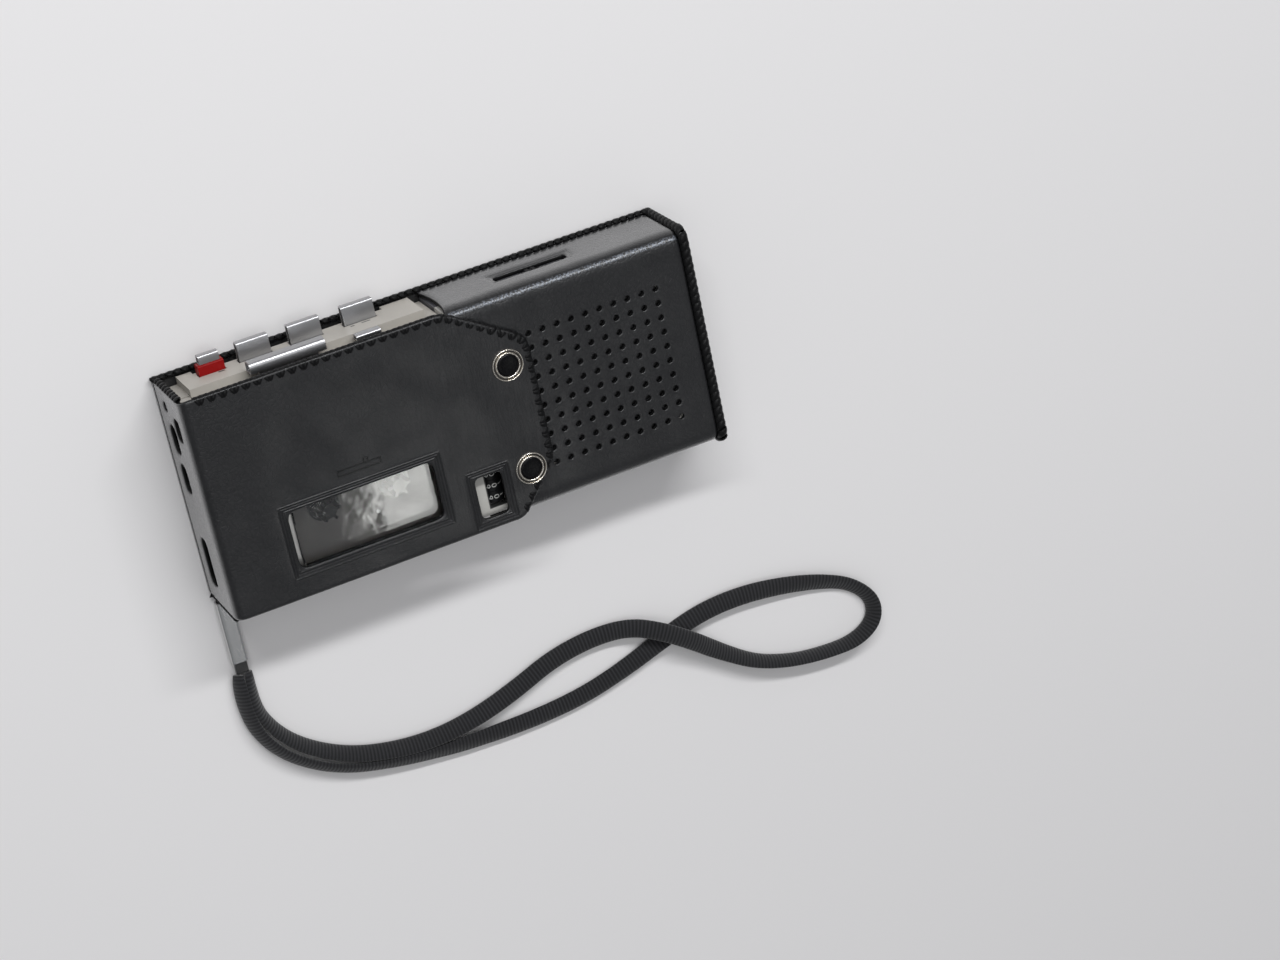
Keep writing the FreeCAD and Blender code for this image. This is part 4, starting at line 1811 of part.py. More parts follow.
def make_speaker():
    x, y = "speaker_x", "speaker_y"
    top = "in_front - shell_gap"
    rim = rod("speaker_rim_ring", "Z", x, y, f"{top} - speaker_rim", top, "speaker_radius")
    dish = doc.addObject("Part::Cone", "speaker_dish")
    hollow = doc.addObject("Part::Cone", "speaker_hollow")
    for cone, inset in ((dish, "0"), (hollow, "basket_sheet")):
        bind(
            cone,
            Radius1=f"magnet_radius + basket_foot - {inset}",
            Radius2=f"speaker_radius - basket_in - {inset}",
            Height="basket_depth",
            Placement__Base__x=x,
            Placement__Base__y=y,
            Placement__Base__z=f"{top} - basket_depth + {inset}",
        )
    magnet = rod(
        "speaker_magnet", "Z", x, y, "board_level + board_sheet + 2*lay_gap",
        f"{top} - basket_depth + shell_gap", "magnet_radius",
    )
    parts["speaker_frame"] = cut("speaker_frame", fuse("speaker_solid", [rim, dish, magnet]), [hollow])
    paper = doc.addObject("Part::Cone", "paper_outer")
    under = doc.addObject("Part::Cone", "paper_inner")
    for cone, lift in ((paper, "0"), (under, "cone_paper")):
        bind(
            cone,
            Radius1="magnet_radius - cone_throat",
            Radius2="speaker_radius - cone_edge",
            Height="cone_depth",
            Placement__Base__x=x,
            Placement__Base__y=y,
            Placement__Base__z=f"{top} - cone_sink + {lift}",
        )
    coil_low = f"{top} - cone_sink - cone_paper/2"
    coil = rod(
        "paper_coil", "Z", x, y, coil_low, f"{coil_low} + coil_height",
        "magnet_radius - cone_throat*1.1",
    )
    parts["speaker_cone"] = fuse("speaker_cone", [cut("paper_shell", paper, [under]), coil])

    plate = slab(
        "grille_plate", "Z",
        "speaker_x - grille_side/2 + grille_fit", "speaker_x + grille_side/2 - grille_fit",
        "grille_y - grille_side/2 + grille_fit", "grille_y + grille_side/2 - grille_fit",
        "rec_front - lay_gap - grille_sheet", "rec_front - lay_gap",
        "grille_round - 2*grille_fit",
    )
    first = "grille_y - grille_side/2 + grille_first"
    slots = [
        box(
            f"grille_slot_{n}",
            "speaker_x - grille_side/2 + grille_border", "speaker_x + grille_side/2 - grille_border",
            f"{first} + {n}*grille_pitch", f"{first} + {n}*grille_pitch + grille_slot",
            "in_front - 1", "rec_front + 1",
        )
        for n in range(round(value("grille_count")))
    ]
    parts["speaker_grille"] = cut("speaker_grille", plate, slots)


def make_power_bay():
    cells = []
    for letter in "ab":
        body = rod(
            f"cell_body_{letter}", "X", f"cell_{letter}_y", "cell_z", "cell_x0",
            "cell_x0 + cell_length", "cell_radius",
        )
        tip = rod(
            f"cell_tip_{letter}", "X", f"cell_{letter}_y", "cell_z",
            "cell_x0 + cell_length - cell_tip/2", "cell_x1", "cell_tip_radius",
        )
        cells.append(fuse(f"cell_{letter}", [body, tip]))
    parts["battery_cells"] = group("battery_cells", cells)
    strap = box(
        "contact_bridge", "in_right - run_gap - contact_sheet", "in_right - run_gap",
        "cell_a_y - contact_lap", "cell_b_y + contact_lap",
        "cell_z - contact_side", "cell_z + contact_side",
    )
    pads = []
    for letter in "ab":
        cone = doc.addObject("Part::Cone", f"contact_coil_{letter}")
        cone.Placement = turned("X")
        bind(
            cone,
            Radius1="coil_foot_radius",
            Radius2="coil_tip_radius",
            Height="coil_room - 2*run_gap",
            Placement__Base__x="divide + rib_wall/2 + run_gap",
            Placement__Base__y=f"cell_{letter}_y",
            Placement__Base__z="cell_z",
        )
        pads.append(cone)
    parts["battery_contacts"] = group("battery_contacts", [strap] + pads)

    wheel = rod(
        "wheel_disc", "Z", "wheel_x", "wheel_y", "wheel_level - wheel_sheet/2",
        "wheel_level + wheel_sheet/2", "wheel_radius",
    )
    eye = rod(
        "wheel_eye", "Z", "wheel_x", "wheel_y", "wheel_level - 4", "wheel_level + 4",
        "wheel_post + run_gap",
    )
    notches = []
    count = int(round(value("wheel_notches")))
    for n in range(count):
        angle = f"{n}*360/wheel_notches"
        notches.append(
            rod(
                f"wheel_notch_{n}", "Z", f"wheel_x + (wheel_radius + notch_out)*cos({angle})",
                f"wheel_y + (wheel_radius + notch_out)*sin({angle})",
                "wheel_level - 4", "wheel_level + 4", "notch_radius",
            )
        )
    parts["volume_wheel"] = cut("volume_wheel", wheel, [eye] + notches)

    parts["circuit_board"] = slab(
        "board_blank", "Z", "board_x0", "board_x0 + board_length", "board_y0", "board_y1",
        "board_level", "board_level + board_sheet", "1",
    )
    pieces = [
        rod(
            "volume_post", "Z", "wheel_x", "wheel_y", "board_level + board_sheet",
            "wheel_level + wheel_sheet/2 + lay_gap + shell_gap", "wheel_post",
        )
    ]
    near = "capacitor_in"
    far = "capacitor_in + capacitor_pitch"
    capacitors = [
        (near, near, "capacitor_radius"),
        (near, far, "capacitor_radius"),
        (far, "chip_from_edge + 2*capacitor_pitch", "capacitor_small"),
    ]
    for n, (along, across, radius) in enumerate(capacitors):
        pieces.append(
            rod(
                f"capacitor_{n}", "Z", f"board_x0 + {along}", f"board_y1 - ({across})",
                "board_level - capacitor_height", "board_level", radius,
            )
        )
    chip_x, chip_y = "board_x0 + chip_in", "board_y1 - chip_from_edge - chip_width"
    pieces.append(
        box(
            "amplifier_chip", chip_x, f"{chip_x} + chip_length", chip_y, f"{chip_y} + chip_width",
            "board_level - chip_height", "board_level",
        )
    )
    coil_x, coil_y = f"{chip_x} + 1", f"{chip_y} - transformer_gap"
    pieces.append(
        box(
            "transformer", coil_x, f"{coil_x} + transformer_length",
            f"{coil_y} - transformer_width", coil_y,
            "board_level - transformer_height", "board_level",
        )
    )
    parts["board_parts"] = group("board_parts", pieces)


def make_end_pieces():
    signal_jacks = []
    for name, from_keys in JACKS:
        y = f"keys_side - {from_keys}"
        width = "dc_jack_width/2" if name == "dc_jack" else "signal_jack_width/2"
        housing = box(
            f"{name}_housing", "in_left + 0.05", "in_left + jack_depth", f"{y} - {width}",
            f"{y} + {width}", "port_level - jack_side/2", "port_level + jack_side/2",
        )
        nose = rod(
            f"{name}_nose", "X", y, "port_level", "rec_left", "in_left + 1", "jack_nose_radius",
        )
        bore = rod(
            f"{name}_bore", "X", y, "port_level", "rec_left - 1",
            "in_left + jack_depth - jack_floor", "jack_bore_radius",
        )
        body = cut(f"{name}_body", fuse(f"{name}_solid", [housing, nose]), [bore])
        if name == "dc_jack":
            pin = rod(
                f"{name}_pin", "X", y, "port_level", "rec_left + 1",
                "in_left + jack_depth - jack_floor/2", "dc_pin_radius",
            )
            parts[name] = fuse(f"{name}_pinned", [body, pin])
        else:
            signal_jacks.append(body)
    parts["signal_jacks"] = group("signal_jacks", signal_jacks)
    parts["microphone"] = rod(
        "microphone", "X", "keys_side - mic_from_keys", "mic_level", "in_left + run_gap",
        "in_left + mic_length", "mic_radius",
    )


make_case()
make_flap()
make_snaps()
make_strap()
make_rear_shell()
make_front_shell()
make_screws()
make_key_panel()
make_keys()
make_deck()
make_drive()
make_heads()
make_lid()
make_counter()
make_speaker()
make_power_bay()
make_end_pieces()
doc.recompute()

faults = [
    f"{feature.Name}: {feature.State}"
    for feature in doc.Objects
    if "Invalid" in feature.State or "Error" in feature.State
]
for name, feature in parts.items():
    feature.Label = name
    shape = feature.Shape
    if shape.isNull() or not shape.isValid() or shape.Volume <= 0:
        faults.append(f"{name}: no valid solid")
if faults:
    raise RuntimeError("; ".join(faults))

os.makedirs("parts", exist_ok=True)
for name, feature in parts.items():
    feature.Shape.exportStep(f"parts/{name}.step")
print(f"{len(parts)} parts, {sum(len(f.Shape.Solids) for f in parts.values())} solids")
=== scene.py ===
# %% [markdown]
# A hand-held dictation machine lies on its back in a laced leather case, with its keys along one
# long side and a braided wrist strap laid out beside it. Everything here is in metres, in the
# frame that the machine was constructed in: X runs towards the loudspeaker, Y towards the keys
# and Z out of the front. The load comes first.

# %% Load the constructed machine
import math

import bmesh
import bpy
from mathutils import Matrix, Vector, noise


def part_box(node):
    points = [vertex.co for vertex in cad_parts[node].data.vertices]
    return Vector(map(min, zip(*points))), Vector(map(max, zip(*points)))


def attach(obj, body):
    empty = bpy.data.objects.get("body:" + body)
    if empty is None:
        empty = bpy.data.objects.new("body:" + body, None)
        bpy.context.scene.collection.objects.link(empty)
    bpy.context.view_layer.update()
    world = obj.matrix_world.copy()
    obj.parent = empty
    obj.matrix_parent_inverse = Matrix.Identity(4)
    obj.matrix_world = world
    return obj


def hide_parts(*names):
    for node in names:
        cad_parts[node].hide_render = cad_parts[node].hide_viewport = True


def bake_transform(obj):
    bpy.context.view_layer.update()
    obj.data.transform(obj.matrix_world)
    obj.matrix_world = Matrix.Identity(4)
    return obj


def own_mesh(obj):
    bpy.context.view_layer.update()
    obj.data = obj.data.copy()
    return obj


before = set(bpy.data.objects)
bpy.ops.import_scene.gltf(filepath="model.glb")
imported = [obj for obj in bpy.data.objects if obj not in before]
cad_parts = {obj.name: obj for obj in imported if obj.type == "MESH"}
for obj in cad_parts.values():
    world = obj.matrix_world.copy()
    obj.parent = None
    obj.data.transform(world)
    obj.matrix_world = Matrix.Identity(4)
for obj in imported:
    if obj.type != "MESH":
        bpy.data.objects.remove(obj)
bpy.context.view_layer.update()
MM = 0.001

# %% [markdown]
# The sizes that follow are measured on the constructed pieces, so a leather skin always lands
# where its plain solid is. A helper turns a corner into plain numbers of millimetres, because
# leather, stitches and keys are all thought of in millimetres.

# %% Measure the constructed pieces


class Extent:
    """The lowest and highest place of a constructed piece, in millimetres."""

    def __init__(self, node):
        low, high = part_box(node)
        self.x0, self.y0, self.z0 = (number / MM for number in low)
        self.x1, self.y1, self.z1 = (number / MM for number in high)


wall = Extent("case_left_wall")
back = Extent("case_back_panel")
flap = Extent("case_flap")
pocket = Extent("case_pocket")
hoop = Extent("case_binding")
LEATHER = back.z1 - back.z0
print("leather thickness in mm:", round(LEATHER, 2))

# %% [markdown]
# The camera comes first, because it decides what has to be right. Its place, its heading and
# its long lens were worked out from the corners of the case in the picture. The three directions
# below are the columns of its rotation.

# %% Place the camera
CAMERA_PLACE = Vector((-0.25006, 0.34661, 0.85523))
CAMERA_RIGHT = Vector((0.8924, -0.1934, 0.4078))
CAMERA_UP = Vector((0.3295, 0.8965, -0.2960))
CAMERA_AHEAD = Vector((0.3084, -0.3985, -0.8638))
FOCAL_LENGTH = 95.6
FILM_WIDTH = 36.0
lens = bpy.data.cameras.new("studio_camera")
lens.lens = FOCAL_LENGTH
lens.sensor_width = FILM_WIDTH
lens.clip_start = 0.01
camera = bpy.data.objects.new("studio_camera", lens)
bpy.context.scene.collection.objects.link(camera)
turn = Matrix((CAMERA_RIGHT, CAMERA_UP, -CAMERA_AHEAD)).transposed()
camera.matrix_world = Matrix.Translation(CAMERA_PLACE) @ turn.to_4x4()
bpy.context.scene.camera = camera
print("camera stands", round(CAMERA_PLACE.length, 3), "m from the middle of the machine")

# %% [markdown]
# A finish is a Principled shader with a small net of nodes before it. The nets are written as
# sums: an Amount stands for a number that changes over the surface, and adding or multiplying it
# puts a Math node in the net. A Finish makes the material, sets the shader's still numbers on
# its own sockets, and adds any other node through one method.

# %% Write shader sums as Python


class Amount:
    """A number, colour or direction that changes over a surface."""

    def __init__(self, finish, socket):
        self.finish = finish
        self.socket = socket

    def sum(self, operation, *parts):
        return self.finish.node("Math", {"operation": operation}, dict(enumerate(parts)))

    def __add__(self, other):
        return self.sum("ADD", self, other)

    def __mul__(self, other):
        return self.sum("MULTIPLY", self, other)

    def __sub__(self, other):
        return self.sum("SUBTRACT", self, other)

    def __rsub__(self, other):
        return self.sum("SUBTRACT", other, self)

    def __abs__(self):
        return self.sum("ABSOLUTE", self)

    def most(self, other):
        return self.sum("MAXIMUM", self, other)

    def wave(self):
        return self.sum("SINE", self)

    __radd__ = __add__
    __rmul__ = __mul__


class Finish:
    """One material, built up step by step before its Principled shader."""

    def __init__(self, name, **still):
        self.material = bpy.data.materials.new(name)
        self.material.use_nodes = True
        self.tree = self.material.node_tree
        self.shader = self.tree.nodes["Principled BSDF"]
        for word, number in still.items():
            self.shader.inputs[word.replace("_", " ")].default_value = number

    def feed(self, socket, part):
        if isinstance(part, Amount):
            self.tree.links.new(part.socket, socket)
        else:
            socket.default_value = part

    def node(self, kind, settings=None, inputs=None, output=0):
        """Adds any node: its settings first, then the numbers or links of its sockets."""
        made = self.tree.nodes.new("ShaderNode" + kind)
        for name, choice in (settings or {}).items():
            setattr(made, name, choice)
        for name, part in (inputs or {}).items():
            self.feed(made.inputs[name], part)
        return Amount(self, made.outputs[output])

    def place(self, stretch=(1.0, 1.0, 1.0), turned=0.0):
        """The spot on the piece in millimetres, stretched along its axes."""
        spot = self.node("TexCoord", output="Object")
        spot = self.node("VectorMath", {"operation": "SCALE"}, {0: spot, "Scale": 1 / MM})
        inputs = {"Vector": spot, "Rotation": (0.0, 0.0, turned), "Scale": stretch}
        return self.node("Mapping", inputs=inputs)

    def along(self, spot, axis):
        """How far a spot lies along X, Y or Z."""
        return self.node("SeparateXYZ", inputs={0: spot}, output=axis)

    def mottle(self, size, detail=3.0, rough=0.55, spot=None):
        """Cloudy noise from 0 to 1 whose blotches are about size millimetres wide."""
        inputs = {"Vector": spot or self.place(), "Scale": 1 / size, "Detail": detail, "Roughness": rough}
        return self.node("TexNoise", inputs=inputs, output="Fac")

    def pebbles(self, size, spot, feature):
        """Round cells about size millimetres wide, by how far their middles or edges are."""
        inputs = {"Vector": spot, "Scale": 1 / size}
        return self.node("TexVoronoi", {"feature": feature}, inputs, "Distance")

    def spread(self, amount, low, high, bottom=0.0, top=1.0):
        """Stretches amount from low..high to bottom..top and holds it there."""
        inputs = {0: amount, 1: low, 2: high, 3: bottom, 4: top}
        return self.node("MapRange", {"clamp": True}, inputs)

    def blend(self, share, first, second):
        """A colour between two, as RGB, by a share from 0 to 1."""
        first, second = (c if isinstance(c, Amount) else (*c, 1.0) for c in (first, second))
        return self.node("Mix", {"data_type": "RGBA"}, {0: share, 6: first, 7: second}, 2)

    def finish(self, colour, rough=None, height=None, relief=0.1):
        """Feeds the shader. relief is the height in millimetres that 1 stands for."""
        inputs = self.shader.inputs
        self.feed(inputs["Base Color"], colour)
        if rough is not None:
            self.feed(inputs["Roughness"], rough)
        if height is not None:
            bump = self.node("Bump", inputs={"Distance": relief * MM, "Height": height})
            self.feed(inputs["Normal"], bump)
        return self.material


def dress(material, nodes):
    """Gives constructed pieces, named in one string, a finish."""
    for name in nodes.split():
        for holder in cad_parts[name].material_slots:
            holder.material = material


print("shader sums are ready")

# %% [markdown]
# Every piece that is modelled here starts as a bmesh in millimetres and ends in the same way: it
# is brought to metres, made a mesh with its materials, put into the scene at the origin, and set
# to ride on the body that moves it. One helper does all that.

# %% Turn a bmesh into a piece


def new_piece(name, bm, *materials, body=None, unit=MM, smooth=True):
    """Makes an object of a bmesh, which rides on a body if one is given."""
    for vert in bm.verts:
        vert.co *= unit
    for face in bm.faces:
        face.smooth = smooth
    mesh = bpy.data.meshes.new(name)
    bm.to_mesh(mesh)
    bm.free()
    for material in materials:
        mesh.materials.append(material)
    piece = bpy.data.objects.new(name, mesh)
    bpy.context.scene.collection.objects.link(piece)
    if body:
        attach(piece, body)
    return piece


print("pieces can be made")

# %% [markdown]
# The machine is photographed on a pale sweep under soft light from above. The floor is a plain
# pale colour, so it takes the machine's shadow. The world is dim near the horizon and brighter
# overhead, as a room with a lit ceiling is, because that contrast is what gives chrome and
# glossy leather their form. A long lamp behind the keys' side throws the soft shadow towards
# the strap and draws the bright line along the folds. The second is a small softbox that hangs
# level and is mirrored in the right half of the tape window. The third, broad and weak, opens
# the shadows.

# %% Lay the floor and hang the lamps
FLOOR_REACH = 6.0
HORIZON_LIGHT = 0.20
CEILING_LIGHT = 0.35
floor_finish = Finish("pale_floor", Roughness=0.6, Specular_IOR_Level=0.2)
cloud = floor_finish.mottle(900.0, detail=1.0)
floor_shade = floor_finish.blend(cloud, (0.745, 0.732, 0.732), (0.785, 0.772, 0.772))
bm = bmesh.new()
bmesh.ops.create_grid(bm, x_segments=2, y_segments=2, size=FLOOR_REACH)
new_piece("floor", bm, floor_finish.finish(floor_shade), unit=1.0, smooth=False)

world = bpy.data.worlds.new("studio")
world.use_nodes = True
sky_nodes, sky_links = world.node_tree.nodes, world.node_tree.links
sky = sky_nodes["Background"]
sky.inputs["Color"].default_value = (0.95, 0.97, 1.0, 1.0)
direction = sky_nodes.new("ShaderNodeTexCoord")
height = sky_nodes.new("ShaderNodeSeparateXYZ")
level = sky_nodes.new("ShaderNodeMapRange")
level.inputs["To Min"].default_value = HORIZON_LIGHT
level.inputs["To Max"].default_value = CEILING_LIGHT
sky_links.new(direction.outputs["Generated"], height.inputs[0])
sky_links.new(height.outputs["Z"], level.inputs["Value"])
sky_links.new(level.outputs["Result"], sky.inputs["Strength"])
bpy.context.scene.world = world


def hang_lamp(name, place, size, power, colour):
    """Hangs a rectangular lamp that looks at the machine."""
    light = bpy.data.lights.new(name, "AREA")
    light.shape = "RECTANGLE"
    light.size, light.size_y = size
    light.energy = power
    light.color = colour
    lamp = bpy.data.objects.new(name, light)
    bpy.context.scene.collection.objects.link(lamp)
    lamp.location = place
    lamp.rotation_euler = (-Vector(place)).to_track_quat("-Z", "Y").to_euler()
    return lamp


hang_lamp("back_lamp", (0.10, 0.95, 0.95), (1.4, 0.10), 14.5, (0.98, 0.99, 1.0))
softbox = hang_lamp("window_softbox", (0.350, -0.576, 1.30), (0.09, 0.12), 0.17, (1.0, 1.0, 0.97))
softbox.rotation_euler = (0.0, 0.0, 0.0)
hang_lamp("fill_lamp", (-0.25, 0.3, 1.6), (1.2, 1.2), 5.5, (0.99, 0.99, 1.0))
bpy.context.scene.view_settings.view_transform = "Standard"
print("floor, world and three lamps are in place")

# %% [markdown]
# The wrist strap is one braided band, laid in a loop with both ends pushed into a small vinyl
# sleeve. A cord is best drawn as a smooth line first. Its route is a NURBS curve through listed
# points, each with the height it is lifted and how far the flat band leans there: it
# stands on edge at the sleeve and lies down along the floor.

# %% Draw the strap's route
STRAP_WIDTH = 5.5
STRAP_THICK = 2.3
FLOOR_GAP = 0.15
STRAP_ROUTE = [
    (-71.9, -60.35, 0.0, 52), (-72.9, -70.2, 0.0, 56), (-69.3, -80.0, 0.0, 56),
    (-62.0, -88.6, 0.0, 54), (-49.9, -96.3, 0.0, 50), (-36.0, -100.3, 0.0, 46),
    (-22.6, -101.4, 0.0, 40), (-9.5, -99.7, 0.0, 34), (3.2, -96.1, 0.0, 24),
    (16.1, -91.2, 0.0, 18), (29.6, -89.4, 0.0, 14), (41.3, -90.2, 0.8, 10),
    (49.8, -93.8, 4.0, 8), (58.1, -99.9, 4.0, 12), (67.1, -108.1, 0.4, 40),
    (77.9, -116.2, 0.0, 60), (89.5, -120.3, 0.0, 70), (100.5, -121.9, 0.0, 70),
    (111.4, -122.0, 0.0, 60), (118.8, -117.8, 0.0, 46), (119.8, -110.6, 0.0, 26),
    (113.8, -103.8, 0.0, 4), (104.3, -99.3, 0.0, -14), (91.3, -95.6, 0.0, -26),
    (77.0, -93.6, 0.0, -30), (63.5, -94.5, 0.0, -20), (50.7, -98.6, 0.0, -8),
    (37.1, -103.2, 0.0, -6), (23.4, -106.6, 0.0, -2), (8.6, -107.7, 0.0, 4),
    (-6.6, -107.2, 0.0, 18), (-22.2, -106.2, 0.0, 38), (-37.4, -104.1, 0.0, 48),
    (-52.4, -100.2, 0.0, 52), (-65.0, -92.2, 0.0, 54), (-72.9, -82.4, 0.0, 56),
    (-75.9, -71.0, 0.0, 56), (-75.0, -60.35, 0.0, 52),
]
strap_line = bpy.data.curves.new("strap_line", "CURVE")
strap_line.dimensions = "3D"
strap_spline = strap_line.splines.new("NURBS")
strap_spline.points.add(len(STRAP_ROUTE) - 1)
strap_spline.resolution_u = 8
for point, (x, y, lift, lean) in zip(strap_spline.points, STRAP_ROUTE):
    tilt = math.radians(lean)
    half_height = (STRAP_WIDTH * abs(math.sin(tilt)) + STRAP_THICK * math.cos(tilt)) / 2
    point.co = (x * MM, y * MM, (lift + half_height + FLOOR_GAP) * MM, 1.0)
strap_spline.order_u = 3
strap_spline.use_endpoint_u = True
guide = bpy.data.objects.new("strap_line", strap_line)
strap_points = [vert.co.copy() for vert in bpy.data.meshes.new_from_object(guide).vertices]
bpy.data.objects.remove(guide)
steps = [(b - a).length for a, b in zip(strap_points, strap_points[1:])]
STRAP_LENGTH = sum(steps)
print("strap:", len(strap_points), "points,", round(STRAP_LENGTH / MM, 1), "mm long")

# %% [markdown]
# The band itself is an oval ring of edges that is extruded along the route, one step at a time.
# Extruding keeps one skin from end to end, and each new ring is carried by the turn from one
# place on the route to the next. The band narrows where it is squeezed into the sleeve. Its UV
# map counts millimetres along the band, which the ribs of the braid follow, and turns round it.

# %% Sweep the braided band


def way_at(points, index):
    """The heading of a route at one of its points."""
    return (points[min(index + 1, len(points) - 1)] - points[max(index - 1, 0)]).normalized()


def set_ring(points, index, lean, shrink):
    """The matrix that puts a flat ring across the route, leaning about its heading."""
    ahead = way_at(points, index)
    side = ahead.cross(Vector((0, 0, 1))).normalized()
    above = side.cross(ahead)
    tilt = math.radians(lean)
    wide = (side * math.cos(tilt) + above * math.sin(tilt)) * shrink
    deep = (above * math.cos(tilt) - side * math.sin(tilt)) * (0.5 + shrink / 2)
    return Matrix.Translation(points[index]) @ Matrix((wide, deep, ahead)).transposed().to_4x4()


def lean_at(share):
    """The lean of the band at a share of its length, between the route's own leans."""
    spot = share * (len(STRAP_ROUTE) - 1)
    low = min(int(spot), len(STRAP_ROUTE) - 2)
    first, second = STRAP_ROUTE[low][3], STRAP_ROUTE[low + 1][3]
    return first + (second - first) * (spot - low)


RING_CORNERS = 16
SQUEEZE_LENGTH = 7.0 * MM
SQUEEZED = 0.62
bm = bmesh.new()
ring = bmesh.ops.create_circle(bm, segments=RING_CORNERS, radius=0.5 * MM)["verts"]
for vert in ring:
    vert.co.x *= STRAP_WIDTH
    vert.co.y *= STRAP_THICK
uv_layer = bm.loops.layers.uv.new("strap_uv")
rows = {vert: (0.0, corner) for corner, vert in enumerate(ring)}
rim = bm.edges[:]
walked = 0.0
last_set = Matrix.Identity(4)
for index in range(len(strap_points)):
    if index:
        walked += steps[index - 1]
        out = bmesh.ops.extrude_edge_only(bm, edges=rim)["geom"]
        ring = {item for item in out if isinstance(item, bmesh.types.BMVert)}
        rim = [item for item in out if isinstance(item, bmesh.types.BMEdge) and ring.issuperset(item.verts)]
        for vert in ring:
            before = next(set(edge.verts) - ring for edge in vert.link_edges if edge not in rim)
            rows[vert] = (walked, rows[before.pop()][1])
    ends = min(walked, STRAP_LENGTH - walked)
    shrink = SQUEEZED + (1 - SQUEEZED) * min(1.0, ends / SQUEEZE_LENGTH) ** 0.5
    new_set = set_ring(strap_points, index, lean_at(walked / STRAP_LENGTH), shrink)
    bmesh.ops.transform(bm, matrix=new_set @ last_set.inverted(), verts=list(ring))
    last_set = new_set
for face in bm.faces:
    corners = [rows[vert][1] for vert in face.verts]
    wraps = max(corners) - min(corners) > 1
    for loop in face.loops:
        walked, corner = rows[loop.vert]
        corner = RING_CORNERS if wraps and corner == 0 else corner
        loop[uv_layer].uv = (walked / MM, corner / RING_CORNERS)
bmesh.ops.holes_fill(bm, edges=[edge for edge in bm.edges if edge.is_boundary])
bmesh.ops.recalc_face_normals(bm, faces=bm.faces)
wrist_band = new_piece("wrist_band", bm, unit=1.0)
print("band:", len(wrist_band.data.polygons), "faces")

# %% [markdown]
# The real band is a soft dull braid, and its strands show as fine ribs across it. Their height
# is a wave along the UV map. The colour is painted lighter on the tops of the ribs and black in the gaps: a
# painted highlight and painted shade.

# %% Finish the braid
braid = Finish("strap_braid", Specular_IOR_Level=0.25, Sheen_Weight=0.25, Sheen_Roughness=0.5)
braid_uv = braid.node("UVMap", {"uv_map": "strap_uv"})
STRAND_PITCH = 1.1
ribs = (braid.along(braid_uv, "X") * (math.tau / STRAND_PITCH)).wave() * 0.5 + 0.5
fuzz = braid.mottle(0.5, detail=4.0)
worn = braid.mottle(14.0)
plait_height = ribs + fuzz * 0.3
# Painted highlight on the rib tops and painted shade in the gaps between them, with a slow cloud of wear.
tops = braid.spread(plait_height, 0.35, 1.2)
braid_painted_ribs = braid.blend(tops * (0.6 + worn * 0.5), (0.006, 0.006, 0.007), (0.026, 0.026, 0.029))
strap_material = braid.finish(
    colour=braid_painted_ribs, rough=0.72 + fuzz * 0.2, height=plait_height, relief=0.10,
)
wrist_band.data.materials.append(strap_material)
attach(wrist_band, "housing")
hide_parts("wrist_strap")
print("braid finished")

# %% [markdown]
# All the leather is one finish. Its grain is a fine pebble with small creases between the
# pebbles, and a slow cloud varies how much it was handled. Worn places are smoother and a little
# browner, which also gives the broad highlights their soft uneven edge. On the pocket, pale
# specks along the fold on the keys' side are a painted highlight.

# %% Finish the leather


def gap_outside(skin, spot, axes, centre, half):
    """How far a place lies outside a rectangle, negative inside it."""
    first, second = (skin.along(spot, axis) for axis in axes)
    return (abs(first - centre[0]) - half[0]).most(abs(second - centre[1]) - half[1])


def pressed_lines(skin, spot, axes, centre, half, gaps, width):
    """Fine lines pressed round a rectangle: 1 on each line, 0 between them."""
    gap = gap_outside(skin, spot, axes, centre, half)
    return sum(1 - skin.spread(abs(gap - place), 0.0, width) for place in gaps)


